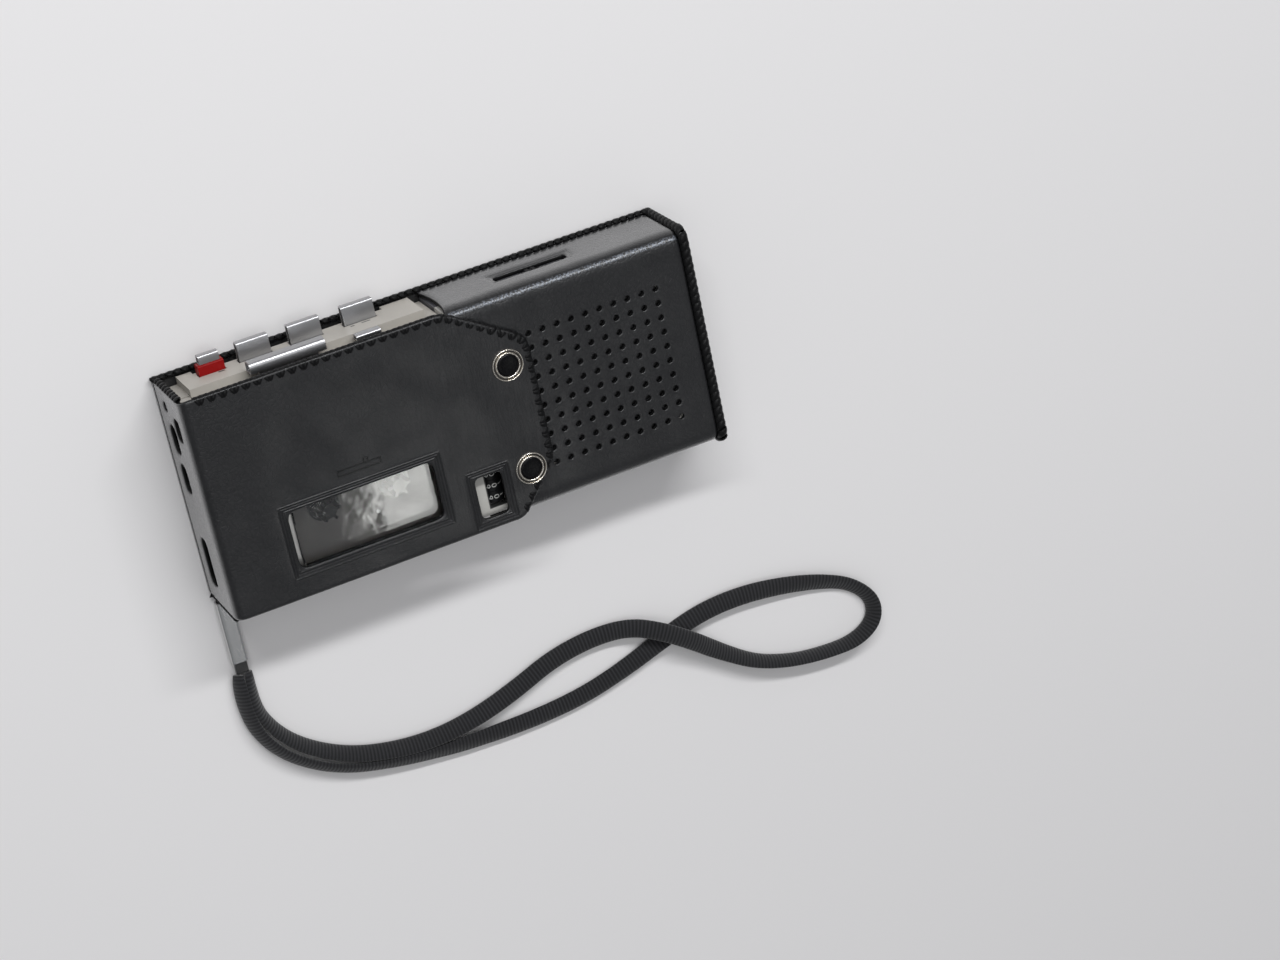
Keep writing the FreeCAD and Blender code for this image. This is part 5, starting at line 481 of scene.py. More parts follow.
def leather_finish(name, dark, lit, shine, gloss, sheen=1.0, pressed=(), highlight_crest=None):
    """Black leather: pebbled grain, fine creases, rubbed patches, a sheen at low angles and a painted
    highlight along a crest.
    """
    skin = Finish(name, Specular_IOR_Level=gloss, Coat_Roughness=0.19, Coat_IOR=2.1)
    spot = skin.place()
    warp = skin.node("TexNoise", inputs={"Vector": spot, "Scale": 0.35}, output="Color")
    bent = skin.node("VectorMath", {"operation": "MULTIPLY_ADD"}, {0: warp, 1: (1.4,) * 3, 2: spot})
    pebble = skin.pebbles(0.62, bent, "SMOOTH_F1")
    vein = skin.pebbles(1.5, bent, "DISTANCE_TO_EDGE")
    creased = skin.spread(vein, 0.0, 0.12)
    pores = skin.mottle(0.22, detail=2.0)
    rubbed = skin.spread(skin.mottle(16.0, detail=3.0), 0.42, 0.66)
    across = skin.along(spot, "X")
    near_snaps = skin.spread(across, -22.0, 2.0) * skin.spread(across, 24.0, 21.0)
    folds = skin.mottle(1.0, detail=3.0, rough=0.6, spot=skin.place((0.75, 0.10, 0.3), turned=0.12))
    lines = skin.spread(folds, 0.38, 0.62) * (0.15 + near_snaps * 0.85)
    height = creased * 0.55 - pebble * 0.7 + pores * 0.16 + lines * 1.5
    for axes, centre, half, gaps, raised, width in pressed:
        height = height + pressed_lines(skin, spot, axes, centre, half, gaps, width) * raised
    facing = skin.node("LayerWeight", inputs={"Blend": 0.5}, output="Facing")
    skin.feed(skin.shader.inputs["Coat Weight"], skin.spread(facing, 0.2, 0.65, 0.10 * sheen, sheen))
    grained = rubbed * 0.35 + pores * 0.25 + (1 - pebble) * creased * 0.35 + lines * 0.2
    colour = skin.blend(grained, dark, lit)
    # Painted highlight: pale specks along the fold's crest stand for the lamp's bright line there.
    if highlight_crest:
        specks = skin.spread(skin.mottle(0.55, detail=4.0), 0.44, 0.60)
        rim = 1 - skin.spread(gap_outside(skin, spot, "YZ", highlight_crest, (0.0, 0.0)), 0.2, 0.8)
        colour = skin.blend(rim * specks, colour, CREST_PAINTED_HIGHLIGHT)
    return skin.finish(colour, shine + pores * 0.10 - rubbed * 0.08, height, relief=0.07)


BLACK_HIDE = ((0.0032, 0.0034, 0.0044), (0.0190, 0.0190, 0.0200))
# The pale blue of the painted highlight along the pocket's fold on the keys' side.
CREST_PAINTED_HIGHLIGHT = (0.17, 0.19, 0.23)
KEYS_CREST = (pocket.y1 - 1.82, pocket.z1 - 0.65)
TAPE_WINDOW = ((-33.5, -17.55), (21.5, 8.5), 2.4)
COUNT_WINDOW = ((2.5, -24.8), (4.0, 6.25), 1.6)
VOLUME_SLOT = ((32.5, 11.8), (11.0, 1.7), 0.7)
window_lines = [
    ("XY", centre, half, (0.7, 1.5, 2.3), 3.2, 0.26) for centre, half, _ in (TAPE_WINDOW, COUNT_WINDOW)
]
thumb_bar = [
    ("XY", (-32.4, -3.0), (6.1, 0.6), (0.15,), 8.0, 0.26),
    ("XY", (-30.3, -1.7), (0.5, 0.6), (0.1,), 7.0, 0.26),
]
slot_lines = [("XZ", VOLUME_SLOT[0], (10.7, 2.0), (1.6,), -7.0, 0.45)]
case_leather = leather_finish("case_leather", *BLACK_HIDE, 0.36, gloss=0.36)
flap_hide = leather_finish("flap_hide", *BLACK_HIDE, 0.36, gloss=0.36, pressed=window_lines + thumb_bar)
pocket_hide = leather_finish(
    "pocket_hide", *BLACK_HIDE, 0.34, gloss=0.40, pressed=slot_lines, highlight_crest=KEYS_CREST,
)
# The lace's darker colours are partly its own black and partly painted shade for the shadow it sits in; the
# cut edges of the leather take them too.
lace_leather = leather_finish(
    "lace_leather", (0.002, 0.002, 0.0022), (0.005, 0.005, 0.0055), 0.50, gloss=0.16, sheen=0.12,
)
dress(case_leather, "case_back_panel case_right_panel strap_tab")
print("leather finished")

# %% [markdown]
# Each piece of leather starts as a flat grid whose lines are chosen: closely spaced where
# it folds or has a window, wider where it is plain. A helper spreads lines between the chosen
# ones, another makes the grid, and a third makes a hole and rounds its corners by pulling the
# corners of the grid onto arcs.

# %% Make flat leather


def lines_between(marks, pitch):
    """Marks in rising order with further lines spread evenly between them."""
    marks = sorted(set(round(mark, 4) for mark in marks))
    lines = [marks[0]]
    for low, high in zip(marks, marks[1:]):
        count = max(1, round((high - low) / pitch))
        lines += [low + (high - low) * step / count for step in range(1, count + 1)]
    return lines


def flat_sheet(across, along):
    """A grid in the XY plane, in millimetres, whose lines lie at the given places."""
    bm = bmesh.new()
    bmesh.ops.create_grid(bm, x_segments=len(across) - 1, y_segments=len(along) - 1, size=1.0)
    for vert in bm.verts:
        column = round((vert.co.x + 1) / 2 * (len(across) - 1))
        row = round((vert.co.y + 1) / 2 * (len(along) - 1))
        vert.co = Vector((across[column], along[row], 0.0))
    return bm


LINE_REACH = 0.4


def outside(place, centre, half):
    """How far a place lies outside a rectangle, negative inside it."""
    return max(abs(place[0] - centre[0]) - half[0], abs(place[1] - centre[1]) - half[1])


def to_arc(distance, other):
    """A square's place moved onto the disc that fits in it."""
    return distance * math.sqrt(max(0.0, 1 - other * other / 2))


def open_hole(bm, centre, half, corner):
    """Deletes the faces of a rectangle and rounds the rectangle's corners."""
    cx, cy = centre
    a, b = half
    gone = [face for face in bm.faces if outside(face.calc_center_median(), centre, half) < 0]
    bmesh.ops.delete(bm, geom=gone, context="FACES")
    for vert in (vert for vert in bm.verts if vert.is_boundary):
        dx, dy = vert.co.x - cx, vert.co.y - cy
        if outside(vert.co, centre, half) > LINE_REACH:
            continue
        wide = a if abs(abs(dx) - a) < LINE_REACH else abs(dx)
        high = b if abs(abs(dy) - b) < LINE_REACH else abs(dy)
        u, v = (wide - a) / corner + 1, (high - b) / corner + 1
        if u > 0 and v > 0:
            wide = a - corner + corner * to_arc(u, v)
            high = b - corner + corner * to_arc(v, u)
        vert.co.x = cx + math.copysign(wide, dx)
        vert.co.y = cy + math.copysign(high, dy)


def hole_marks(centre, half, corner):
    """The grid lines that a rounded hole needs along one axis."""
    inner = half - corner
    return [centre + side * (inner + corner * share) for side in (-1, 1) for share in (0, 0.5, 1)]


CORNER_CUTS = 7


def trim(bm, point, outward):
    """Cuts away what lies beyond a line through point, in the flat."""
    whole = bm.verts[:] + bm.edges[:] + bm.faces[:]
    line = {"plane_co": (*point, 0.0), "plane_no": (*outward, 0.0)}
    bmesh.ops.bisect_plane(bm, geom=whole, clear_outer=True, **line)


def trim_corner(bm, corner, before, after, radius):
    """Rounds an outline's corner with short tangent cuts, given the corners beside it."""
    corner = Vector(corner)
    one = (Vector(before) - corner).normalized()
    two = (Vector(after) - corner).normalized()
    half_angle = one.angle(two) / 2
    middle = corner + (one + two).normalized() * radius / math.sin(half_angle)
    start = math.atan2(*reversed(-(one + two))) - (math.pi / 2 - half_angle)
    for cut in range(CORNER_CUTS):
        angle = start + (math.pi - 2 * half_angle) * (cut + 0.5) / CORNER_CUTS
        outward = Vector((math.cos(angle), math.sin(angle)))
        trim(bm, middle + outward * radius, outward)


def soften(piece):
    """Rounds a piece by one level of subdivision."""
    rounder = piece.modifiers.new("softness", "SUBSURF")
    rounder.levels = rounder.render_levels = 1


def leather_piece(name, bm, hide, body=None):
    """Thickens a sheet inward from its outer skin, with a black edge, and rounds it."""
    bmesh.ops.remove_doubles(bm, verts=bm.verts, dist=0.2)
    bmesh.ops.recalc_face_normals(bm, faces=bm.faces)
    piece = new_piece(name, bm, hide, lace_leather, body=body)
    thickness = piece.modifiers.new("thickness", "SOLIDIFY")
    thickness.thickness = LEATHER * MM
    thickness.use_even_offset = True
    thickness.edge_crease_rim = 0.5
    thickness.material_offset = thickness.material_offset_rim = 1
    soften(piece)
    return piece


print("flat leather is ready to be cut")

# %% [markdown]
# The flap, its hinge fold and the left wall are one strip. Laid flat, the strip's first axis is
# the flap's own X; beyond the fold it goes on down the wall. The bend carries each place from the
# flat onto the flap, round the quarter fold and down the wall.

# %% Cut the flap and the left wall from one strip
FOLD_RADIUS = 2.8
FOLD_X = wall.x0 + FOLD_RADIUS
FOLD_Z = flap.z1 - FOLD_RADIUS
FOLD_ARC = FOLD_RADIUS * math.pi / 2
WALL_TOP = FOLD_X - FOLD_ARC
WALL_FOOT = WALL_TOP - (FOLD_Z - back.z1)
PORTS = [((15.95, 10.5), (4.25, 2.5)), ((3.95, 10.5), (4.25, 2.5)), ((-21.55, 10.5), (7.25, 2.5))]
VOICE_PORT = ((20.85, 17.2), (3.5, 2.3))
PEEP_HOLE = ((25.45, 9.0), (1.3, 1.3))
WALL_HOLES = PORTS + [VOICE_PORT, PEEP_HOLE]
FLAP_CORNERS = [
    ((10.6, -34.55), 5.6), ((22.6, -20.05), 7.0), ((22.6, 16.65), 7.0), ((0.0, 30.95), 11.2),
]


def wall_place(z):
    """Where a height on the left wall lies along the flat strip."""
    return WALL_TOP - (FOLD_Z - z)


along_marks = [WALL_FOOT, WALL_TOP, FOLD_X, flap.x1]
across_marks = [flap.y0, wall.y1, flap.y1]
FRAME_STEPS = (0.5, 1.3, 2.0)
LINE_GAP = 0.35
for (x, y), (a, b), corner in (TAPE_WINDOW, COUNT_WINDOW):
    along_marks += hole_marks(x, a, corner) + [x + s * (a + w) for s in (-1, 1) for w in FRAME_STEPS]
    across_marks += hole_marks(y, b, corner) + [y + s * (b + w) for s in (-1, 1) for w in FRAME_STEPS]
for (y, z), (a, b) in WALL_HOLES:
    across_marks += hole_marks(y, a, b)
    along_marks += hole_marks(wall_place(z), b, b)


def thin_out(marks):
    """Drops lines that lie too near the line before them."""
    kept = []
    for mark in sorted(marks):
        if not kept or mark - kept[-1] > LINE_GAP:
            kept.append(mark)
    return kept


def bend_strip(place):
    """Carries a place of the flat strip onto the flap, round the fold and down the wall."""
    p, y, out = place
    if p >= FOLD_X:
        return Vector((p, y, flap.z1 + out))
    if p >= WALL_TOP:
        angle = (FOLD_X - p) / FOLD_RADIUS
        reach = FOLD_RADIUS + out
        return Vector((FOLD_X - reach * math.sin(angle), y, FOLD_Z + reach * math.cos(angle)))
    return Vector((wall.x0 - out, y, FOLD_Z - (WALL_TOP - p)))


def ease(share):
    """A smooth rise from 0 to 1."""
    share = min(1.0, max(0.0, share))
    return share * share * (3 - 2 * share)


bm = flat_sheet(*(lines_between(thin_out(marks), 1.5) for marks in (along_marks, across_marks)))
for centre, half, corner in (TAPE_WINDOW, COUNT_WINDOW):
    open_hole(bm, centre, half, corner)
for (y, z), (a, b) in WALL_HOLES:
    open_hole(bm, (wall_place(z), y), (b, a), b)
ring_of_corners = [corner for corner, radius in FLAP_CORNERS]
neighbours = [(WALL_FOOT, flap.y0)] + ring_of_corners + [(WALL_FOOT, flap.y1)]
for before, corner in zip(neighbours[1:-2], neighbours[2:-1]):
    run = Vector(corner) - Vector(before)
    trim(bm, corner, (run.y, -run.x))
for before, (corner, radius), after in zip(neighbours, FLAP_CORNERS, neighbours[2:]):
    trim_corner(bm, corner, before, after, radius)

WINDOW_SINK = 0.32
FLAP_WAVES = 0.16
WAVE_LENGTH = 11
for vert in bm.verts:
    p, y = vert.co.x, vert.co.y
    for centre, half, corner in (TAPE_WINDOW, COUNT_WINDOW):
        vert.co.z -= WINDOW_SINK * (1 - ease((outside((p, y), centre, half) - 1.2) / 0.8))
    loose = ease((p - FOLD_X) / 12) * FLAP_WAVES
    vert.co.z += loose * (0.5 + noise.noise(Vector((p / WAVE_LENGTH, y / WAVE_LENGTH, 3.0))))
    if p < FOLD_X and y > 0:
        vert.co.y *= 1 - ease((FOLD_X - p) / FOLD_ARC) * (1 - wall.y1 / flap.y1)
    vert.co = bend_strip(vert.co)
front_leather = leather_piece("flap_leather", bm, flap_hide)
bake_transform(front_leather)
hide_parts("case_left_wall", "flap_fold", "case_flap")
print("flap strip:", len(front_leather.data.polygons), "faces")

# %% [markdown]
# The pocket is a second strip, bent over both long edges: down the keys' side at one end and
# down the lower side at the other. Its lines run through the middles of the loudspeaker's holes,
# so each hole is made from one corner of the grid: the corner is dissolved into an eight-sided
# face, the face is inset to a ring, and the ring is drawn to a circle and opened.

# %% Cut the loudspeaker pocket
POCKET_RADIUS = 4.0
HOLES = 10
HOLE_PITCH = 4.36
HOLE_RADIUS = 0.98
FIRST_HOLE = (23.76, -22.79)
SIDE_TOP = pocket.z1 - POCKET_RADIUS
SIDE_ARC = POCKET_RADIUS * math.pi / 2
KEYS_BEND = pocket.y1 - POCKET_RADIUS
LOW_BEND = pocket.y0 + POCKET_RADIUS
SIDE_HEIGHT = SIDE_TOP - back.z1
SCOOP_RADIUS = 42.0
SCOOP_MIDDLE = 13.4
SCOOP_DEPTH = 1.7
NOTCH_MARGIN = 1.5
NOTCH_ROW = 3


def side_place(z):
    """Where a height on the keys' side of the pocket lies along the flat strip."""
    return KEYS_BEND + SIDE_ARC + SIDE_TOP - z


def bend_pocket(place):
    """Carries a place of the flat pocket onto its front, its folds and its two sides."""
    x, q, out = place
    reach = POCKET_RADIUS + out
    if LOW_BEND <= q <= KEYS_BEND:
        return Vector((x, q, pocket.z1 + out))
    side, bend = (1, KEYS_BEND) if q > KEYS_BEND else (-1, LOW_BEND)
    beyond = abs(q - bend)
    if beyond <= SIDE_ARC:
        angle = beyond / POCKET_RADIUS
        y = bend + side * reach * math.sin(angle)
        return Vector((x, y, SIDE_TOP + reach * math.cos(angle)))
    return Vector((x, bend + side * reach, SIDE_TOP - (beyond - SIDE_ARC)))


half_pitch = HOLE_PITCH / 2
hole_x = [FIRST_HOLE[0] + half_pitch * step for step in range(-1, 2 * HOLES)]
hole_y = [FIRST_HOLE[1] + half_pitch * step for step in range(-1, 2 * HOLES)]
slot_centre, slot_half, slot_corner = VOLUME_SLOT
slot_spot = (slot_centre[0], side_place(slot_centre[1]))
slot_x, slot_q = (
    [middle + side * (reach + step) for side in (-1, 1) for step in (0.0, 0.6, 1.4, 2.0)]
    for middle, reach in zip(slot_spot, slot_half)
)
slot_x = [mark for mark in slot_x if min(abs(mark - line) for line in hole_x) > 0.3]
slot_x = [mark for mark in slot_x if min(abs(mark - line) for line in hole_x[1::2]) > 1.3]
low_foot = LOW_BEND - SIDE_ARC - SIDE_HEIGHT
notch_x = COUNT_WINDOW[0][0] + COUNT_WINDOW[1][0] + NOTCH_MARGIN
notch_y = FIRST_HOLE[1] + half_pitch * NOTCH_ROW
notch_low = LOW_BEND - SIDE_ARC
notch_half = (notch_x - pocket.x0 + half_pitch, (notch_y - notch_low) / 2)
notch_centre = (notch_x - notch_half[0], notch_y - notch_half[1])
marks_x = [pocket.x0, pocket.x1, notch_x, notch_x - half_pitch] + hole_x + slot_x
marks_q = [low_foot, LOW_BEND - SIDE_ARC, LOW_BEND] + hole_y + [KEYS_BEND, KEYS_BEND + SIDE_ARC]
marks_q += slot_q + [side_place(back.z1)]
bm = flat_sheet(lines_between(marks_x, 2.2), lines_between(marks_q, 1.6))
open_hole(bm, slot_spot, slot_half, slot_corner)
open_hole(bm, notch_centre, notch_half, half_pitch)
middles = [Vector((x, y, 0.0)) for x in hole_x[1::2] for y in hole_y[1::2]]
near_middle = {(round(spot.x, 2), round(spot.y, 2)) for spot in middles}
centres = [v for v in bm.verts if (round(v.co.x, 2), round(v.co.y, 2)) in near_middle]
bmesh.ops.dissolve_verts(bm, verts=centres)
opened = [face for face in bm.faces if len(face.verts) == 8]
for face in opened:
    rough_middle = face.calc_center_median()
    middle = min(middles, key=lambda spot: (spot - rough_middle).length)
    for thickness, radius in ((0.6, HOLE_RADIUS + 0.2), (0.3, HOLE_RADIUS * 0.92)):
        bmesh.ops.inset_individual(bm, faces=[face], thickness=thickness)
        turns = sorted(face.verts, key=lambda vert: math.atan2(*(vert.co - middle).yx))
        for step, vert in enumerate(turns):
            angle = math.tau * (step + 1) / len(turns) - math.pi
            vert.co = middle + Vector((math.cos(angle), math.sin(angle), 0)) * radius
bmesh.ops.delete(bm, geom=opened, context="FACES")
print("loudspeaker holes:", len(middles))


def mouth_at(z):
    """How far the scoop takes the mouth of the pocket at a height."""
    bow = math.sqrt(SCOOP_RADIUS ** 2 - (z - SCOOP_MIDDLE) ** 2) - SCOOP_RADIUS
    return max(0.0, SCOOP_DEPTH + bow)


SLOT_SINK = 0.45
POCKET_WAVES = 0.10
for vert in bm.verts:
    x, q = vert.co.x, vert.co.y
    vert.co.z -= SLOT_SINK * (1 - ease((outside((x, q), slot_spot, slot_half) - 0.9) / 0.8))
    waves = noise.noise(Vector((x / 14, q / 14, 8.0))) + 0.4 * noise.noise(Vector((x / 5, q / 5, 1.0)))
    near_fold = max(0.0, 1 - abs(q - KEYS_BEND - SIDE_ARC / 2) / 9)
    vert.co.z += POCKET_WAVES * waves * (1 + near_fold)
    placed = bend_pocket(vert.co)
    placed.x += mouth_at(placed.z) * (1 - ease((placed.x - pocket.x0) / 16))
    vert.co = placed
pocket_leather = leather_piece("pocket_leather", bm, pocket_hide, "housing")
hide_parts("case_pocket")
print("pocket:", len(pocket_leather.data.polygons), "faces")

# %% [markdown]
# The hard pieces keep their constructed shapes and get their finishes here. Chromed steel is
# brushed along one way, plastics have a faint moulded grain, and every finish varies a little
# over the piece, as handled things do.

# %% Finish metal


def metal_finish(name, nodes, colour, rough, grain=(0.2, 6.0, 6.0), depth=0.003):
    """Metal with fine brushed lines, a slow cloud of wear and small dull spots."""
    metal = Finish(name, Metallic=1.0)
    lines = metal.mottle(1.0, detail=2.0, spot=metal.place(grain))
    haze = metal.mottle(9.0)
    spots = metal.spread(metal.mottle(0.9, detail=1.0), 0.66, 0.74)
    darker = tuple(part * 0.86 for part in colour)
    shade = metal.blend(lines * 0.4 + spots * 0.3 + haze * 0.3, colour, darker)
    dulled = rough * (0.85 + haze * 0.3) + spots * 0.08 + lines * 0.04
    dress(metal.finish(shade, dulled, lines, relief=depth), nodes)
    return metal.material


key_chrome = metal_finish(
    "key_chrome", "record_cap rewind_key forward_key play_key stop_bar pause_slider",
    (0.45, 0.45, 0.46), 0.30, (0.4, 5.0, 5.0), depth=0.0004,
)
snap_nickel = metal_finish("snap_nickel", "snap_studs", (0.66, 0.62, 0.56), 0.16, (3.0, 3.0, 3.0))
metal_finish("clasp_chrome", "strap_clasp", (0.64, 0.64, 0.64), 0.14, (6.0, 0.3, 6.0))
metal_finish("lid_silver", "cassette_lid", (0.60, 0.59, 0.57), 0.34, (2.0, 2.0, 2.0))
# The grille's dark colour is partly painted shade, so that the loudspeaker holes read black like the shadow
# inside them.
metal_finish("grille_aluminium", "speaker_grille", (0.17, 0.17, 0.175), 0.30, (4.0, 4.0, 4.0))
deck_parts = "key_frame counter_frame head_slide pinch_arm"
metal_finish("deck_steel", deck_parts, (0.42, 0.42, 0.42), 0.34, (0.3, 7.0, 7.0))
spring_steel = metal_finish("spring_steel", "key_springs battery_contacts", (0.48, 0.48, 0.49), 0.28)
zinc_parts = "shell_screws lid_hinge_pin speaker_frame"
metal_finish("zinc_steel", zinc_parts, (0.46, 0.46, 0.48), 0.38, (2.0, 2.0, 2.0))
metal_finish("bearing_brass", "capstan_bearing", (0.62, 0.45, 0.20), 0.26, (5.0, 5.0, 0.4))
metal_finish("flywheel_brass", "flywheel motor_pulley", (0.58, 0.43, 0.20), 0.30, (5.0, 5.0, 0.6))
polished_steel = metal_finish("polished_steel", "capstan", (0.62, 0.62, 0.63), 0.10, (6.0, 6.0, 0.5))
metal_finish("motor_can", "motor", (0.50, 0.50, 0.51), 0.30, (5.0, 5.0, 0.4))
metal_finish("head_metal", "tape_heads", (0.56, 0.55, 0.53), 0.12, (0.6, 6.0, 6.0))
print("metals finished")

# %% [markdown]
# Plastic is told from leather by its even surface. A few patches are painted near black as
# shade: in narrow gaps of the key panel's moulding, and on the front shell round the counter,
# where it lies under the flap. Rubber and paper are the same finish, only rougher. Clear plastic
# needs little more than transmission, fine scratches and slow waves.

# %% Finish plastic, rubber, paper and glass
# Painted shade: the near black laid in the key panel's narrow gaps and round the counter.
PAINTED_SLOT_SHADE = (0.02, 0.02, 0.02)
PANEL_SHADED_SLOTS = [((-58.6, 9.7), (0.9, 0.35)), ((-16.2, 9.6), (1.3, 0.3)), ((-20.2, 9.7), (0.6, 0.3))]
COUNTER_SHADE_SURROUND = [((5.6, -24.7), (3.35, 5.5))]


def plastic_finish(
    name, nodes, colour, rough, depth=0.02, grain=0.35, coat=0.0, gloss=0.5, shade_patches=(), axes="XZ",
):
    """Moulded plastic: a fine texture, a slow cloud, a little dust and painted shade in given patches."""
    plastic = Finish(name, Coat_Weight=coat, Coat_Roughness=0.08, Specular_IOR_Level=gloss)
    fine = plastic.mottle(grain, detail=2.0)
    cloud = plastic.mottle(12.0)
    dust = plastic.spread(plastic.mottle(3.0, detail=5.0), 0.55, 0.75)
    darker = tuple(part * 0.82 for part in colour)
    dusty = tuple(min(1.0, part * 1.1 + 0.01) for part in colour)
    shade = plastic.blend(dust * 0.5, plastic.blend(cloud, colour, darker), dusty)
    # Each given patch is painted near black as shade.
    for centre, half in shade_patches:
        gap = gap_outside(plastic, plastic.place(), axes, centre, half)
        shade = plastic.blend(plastic.spread(gap, 0.1, -0.1), shade, PAINTED_SLOT_SHADE)
    dress(plastic.finish(shade, rough + fine * 0.08 + dust * 0.06, fine, relief=depth), nodes)
    return plastic.material


def clear_finish(name, nodes, tint, rough, waves=0.0):
    """Clear plastic with hairline scratches, which is seen through and mirrors the room."""
    clear = Finish(name, IOR=1.55, Transmission_Weight=1.0)
    streaks = clear.mottle(1.0, detail=2.0, spot=clear.place((0.10, 2.4, 1.0), turned=0.5))
    smear = clear.spread(clear.mottle(11.0), 0.4, 0.7)
    shade = clear.blend(smear, tint, tuple(part * 0.9 for part in tint))
    height = streaks * 0.04
    if waves:
        height = height + clear.mottle(6.5, detail=2.0) * waves + clear.mottle(2.2, detail=2.0) * 0.06
    dress(clear.finish(shade, rough + smear * 0.05, height, relief=0.10), nodes)
    return clear.material


plastic_finish("panel_grey", "side_key_panel", (0.45, 0.425, 0.385), 0.40, shade_patches=PANEL_SHADED_SLOTS)
plastic_finish(
    "front_plastic", "front_shell", (0.50, 0.49, 0.46), 0.38, shade_patches=COUNTER_SHADE_SURROUND, axes="XY",
)
plastic_finish("rear_plastic", "rear_shell battery_door", (0.09, 0.09, 0.10), 0.48, 0.05, grain=0.5)
plastic_finish("record_red", "record_button", (0.26, 0.004, 0.004), 0.34, 0.004, gloss=0.15)
snap_black = plastic_finish("snap_black", "snap_caps", (0.0015, 0.0016, 0.0022), 0.22, 0.002, gloss=0.16)
plastic_finish("spindle_black", "supply_spindle", (0.004, 0.004, 0.005), 0.30, 0.01, gloss=0.2)
plastic_finish("spindle_white", "takeup_spindle", (0.58, 0.57, 0.53), 0.36, 0.01)
drums = "counter_units_drum counter_tens_drum counter_hundreds_drum"
plastic_finish("drum_black", drums, (0.007, 0.007, 0.008), 0.40, 0.01, gloss=0.25)
digit_white = plastic_finish("digit_white", "", (0.60, 0.60, 0.58), 0.45, 0.004)
plastic_finish("deck_paint", "deck_plate", (0.150, 0.138, 0.128), 0.5, 0.004)
plastic_finish("wheel_black", "volume_wheel", (0.004, 0.004, 0.005), 0.50, gloss=0.2)
black_parts = "microphone signal_jacks dc_jack board_parts"
plastic_finish("part_black", black_parts, (0.022, 0.022, 0.024), 0.44)
plastic_finish("cell_jacket", "battery_cells", (0.20, 0.21, 0.24), 0.30, 0.004, coat=0.3)
rubber_parts = "drive_belt pinch_roller idler_wheel"
plastic_finish("drive_rubber", rubber_parts, (0.018, 0.018, 0.018), 0.66, 0.03, grain=0.3)
plastic_finish("paper_cone", "speaker_cone", (0.05, 0.045, 0.04), 0.80, 0.08, grain=0.7)
plastic_finish("board_green", "circuit_board", (0.035, 0.13, 0.055), 0.32, 0.01, coat=0.3)
window_clear = clear_finish("window_clear", "", (0.93, 0.94, 0.94), 0.03, waves=0.4)
clear_finish("clear_vinyl", "strap_sleeve", (0.24, 0.24, 0.24), 0.14)
print("plastics finished")

# %% [markdown]
# A leather lace is whipped round every raw edge of the case. Each wrap is the same small ring, so
# the ring is spun once from a flat six-sided thong and copied along the edge. A wrap leans as it
# goes round, because the lace moves on by one hole with each turn. A copy is placed by a matrix
# whose columns are the way along the edge and the two half widths of what it goes round. The
# three are kept right-handed, so that no copy is turned inside out.

# %% Spin one wrap of the lace
LACE_PITCH = 2.3
LACE_LEAN = 0.42
LACE_THONG = (2.2, 0.8)


def spin_wrap(name, width, thick, taper=0.0):
    """A ring of radius 1 round the X axis, made of a flat thong; taper narrows its inner side."""
    bm = bmesh.new()
    for vert in bmesh.ops.create_circle(bm, segments=6, radius=0.5)["verts"]:
        vert.co = Vector((vert.co.x * width, 1.0 + vert.co.y * thick, 0.0))
    bmesh.ops.spin(
        bm, geom=bm.verts[:] + bm.edges[:], cent=(0, 0, 0), axis=(1, 0, 0), angle=math.tau,
        steps=11, use_merge=True,
    )
    bmesh.ops.remove_doubles(bm, verts=bm.verts, dist=0.001)
    bmesh.ops.recalc_face_normals(bm, faces=bm.faces)
    for vert in bm.verts:
        vert.co.x *= 1 - taper * (1 - vert.co.y) / 2
    mesh = bpy.data.meshes.new(name)
    bm.to_mesh(mesh)
    bm.free()
    return mesh


def add_wrap(bm, unit, spot, along, out, up, out_lean, up_lean=0.0):
    """Copies a ring onto an edge; the leans move its outer and upper sides along the edge."""
    count = len(bm.verts)
    bm.from_mesh(unit)
    skew = Matrix.Identity(4)
    skew[0][1], skew[0][2] = out_lean, up_lean
    set_down = Matrix((along, out, up)).transposed()
    matrix = Matrix.Translation(spot) @ set_down.to_4x4() @ skew
    bmesh.ops.transform(bm, matrix=matrix, verts=bm.verts[:][count:])


def walk(corners, pitch):
    """Even steps along a path with rounded corners: the place and the heading of each."""
    path = [Vector(corners[0][0])]
    for (before, _), (corner, radius), (after, _) in zip(corners, corners[1:], corners[2:]):
        corner = Vector(corner)
        one = (Vector(before) - corner).normalized()
        two = (Vector(after) - corner).normalized()
        half_angle = one.angle(two) / 2
        middle = corner + (one + two).normalized() * radius / math.sin(half_angle)
        start = corner + one * radius / math.tan(half_angle) - middle
        end = corner + two * radius / math.tan(half_angle) - middle
        path += [middle + start.slerp(end, step / 8).normalized() * radius for step in range(9)]
    path.append(Vector(corners[-1][0]))
    lengths = [(b - a).length for a, b in zip(path, path[1:])]
    count = max(1, round(sum(lengths) / pitch))
    spots = []
    for step in range(count + 1):
        left = sum(lengths) * step / count
        for a, b, length in zip(path, path[1:], lengths):
            if left <= length + 1e-6:
                spots.append((a.lerp(b, left / length), (b - a).normalized()))
                break
            left -= length
    return spots


wrap_mesh = spin_wrap("wrap", *LACE_THONG)
print("one wrap has", len(wrap_mesh.polygons), "faces")

# %% [markdown]
# The wraps follow three kinds of edge: the long edges of the back panel, the two ends of the
# left wall, and the hoop that closes the right end, which goes down one side, over the front and
# down the other. Each run has its path, its ring, the way that is up there, and its lean.

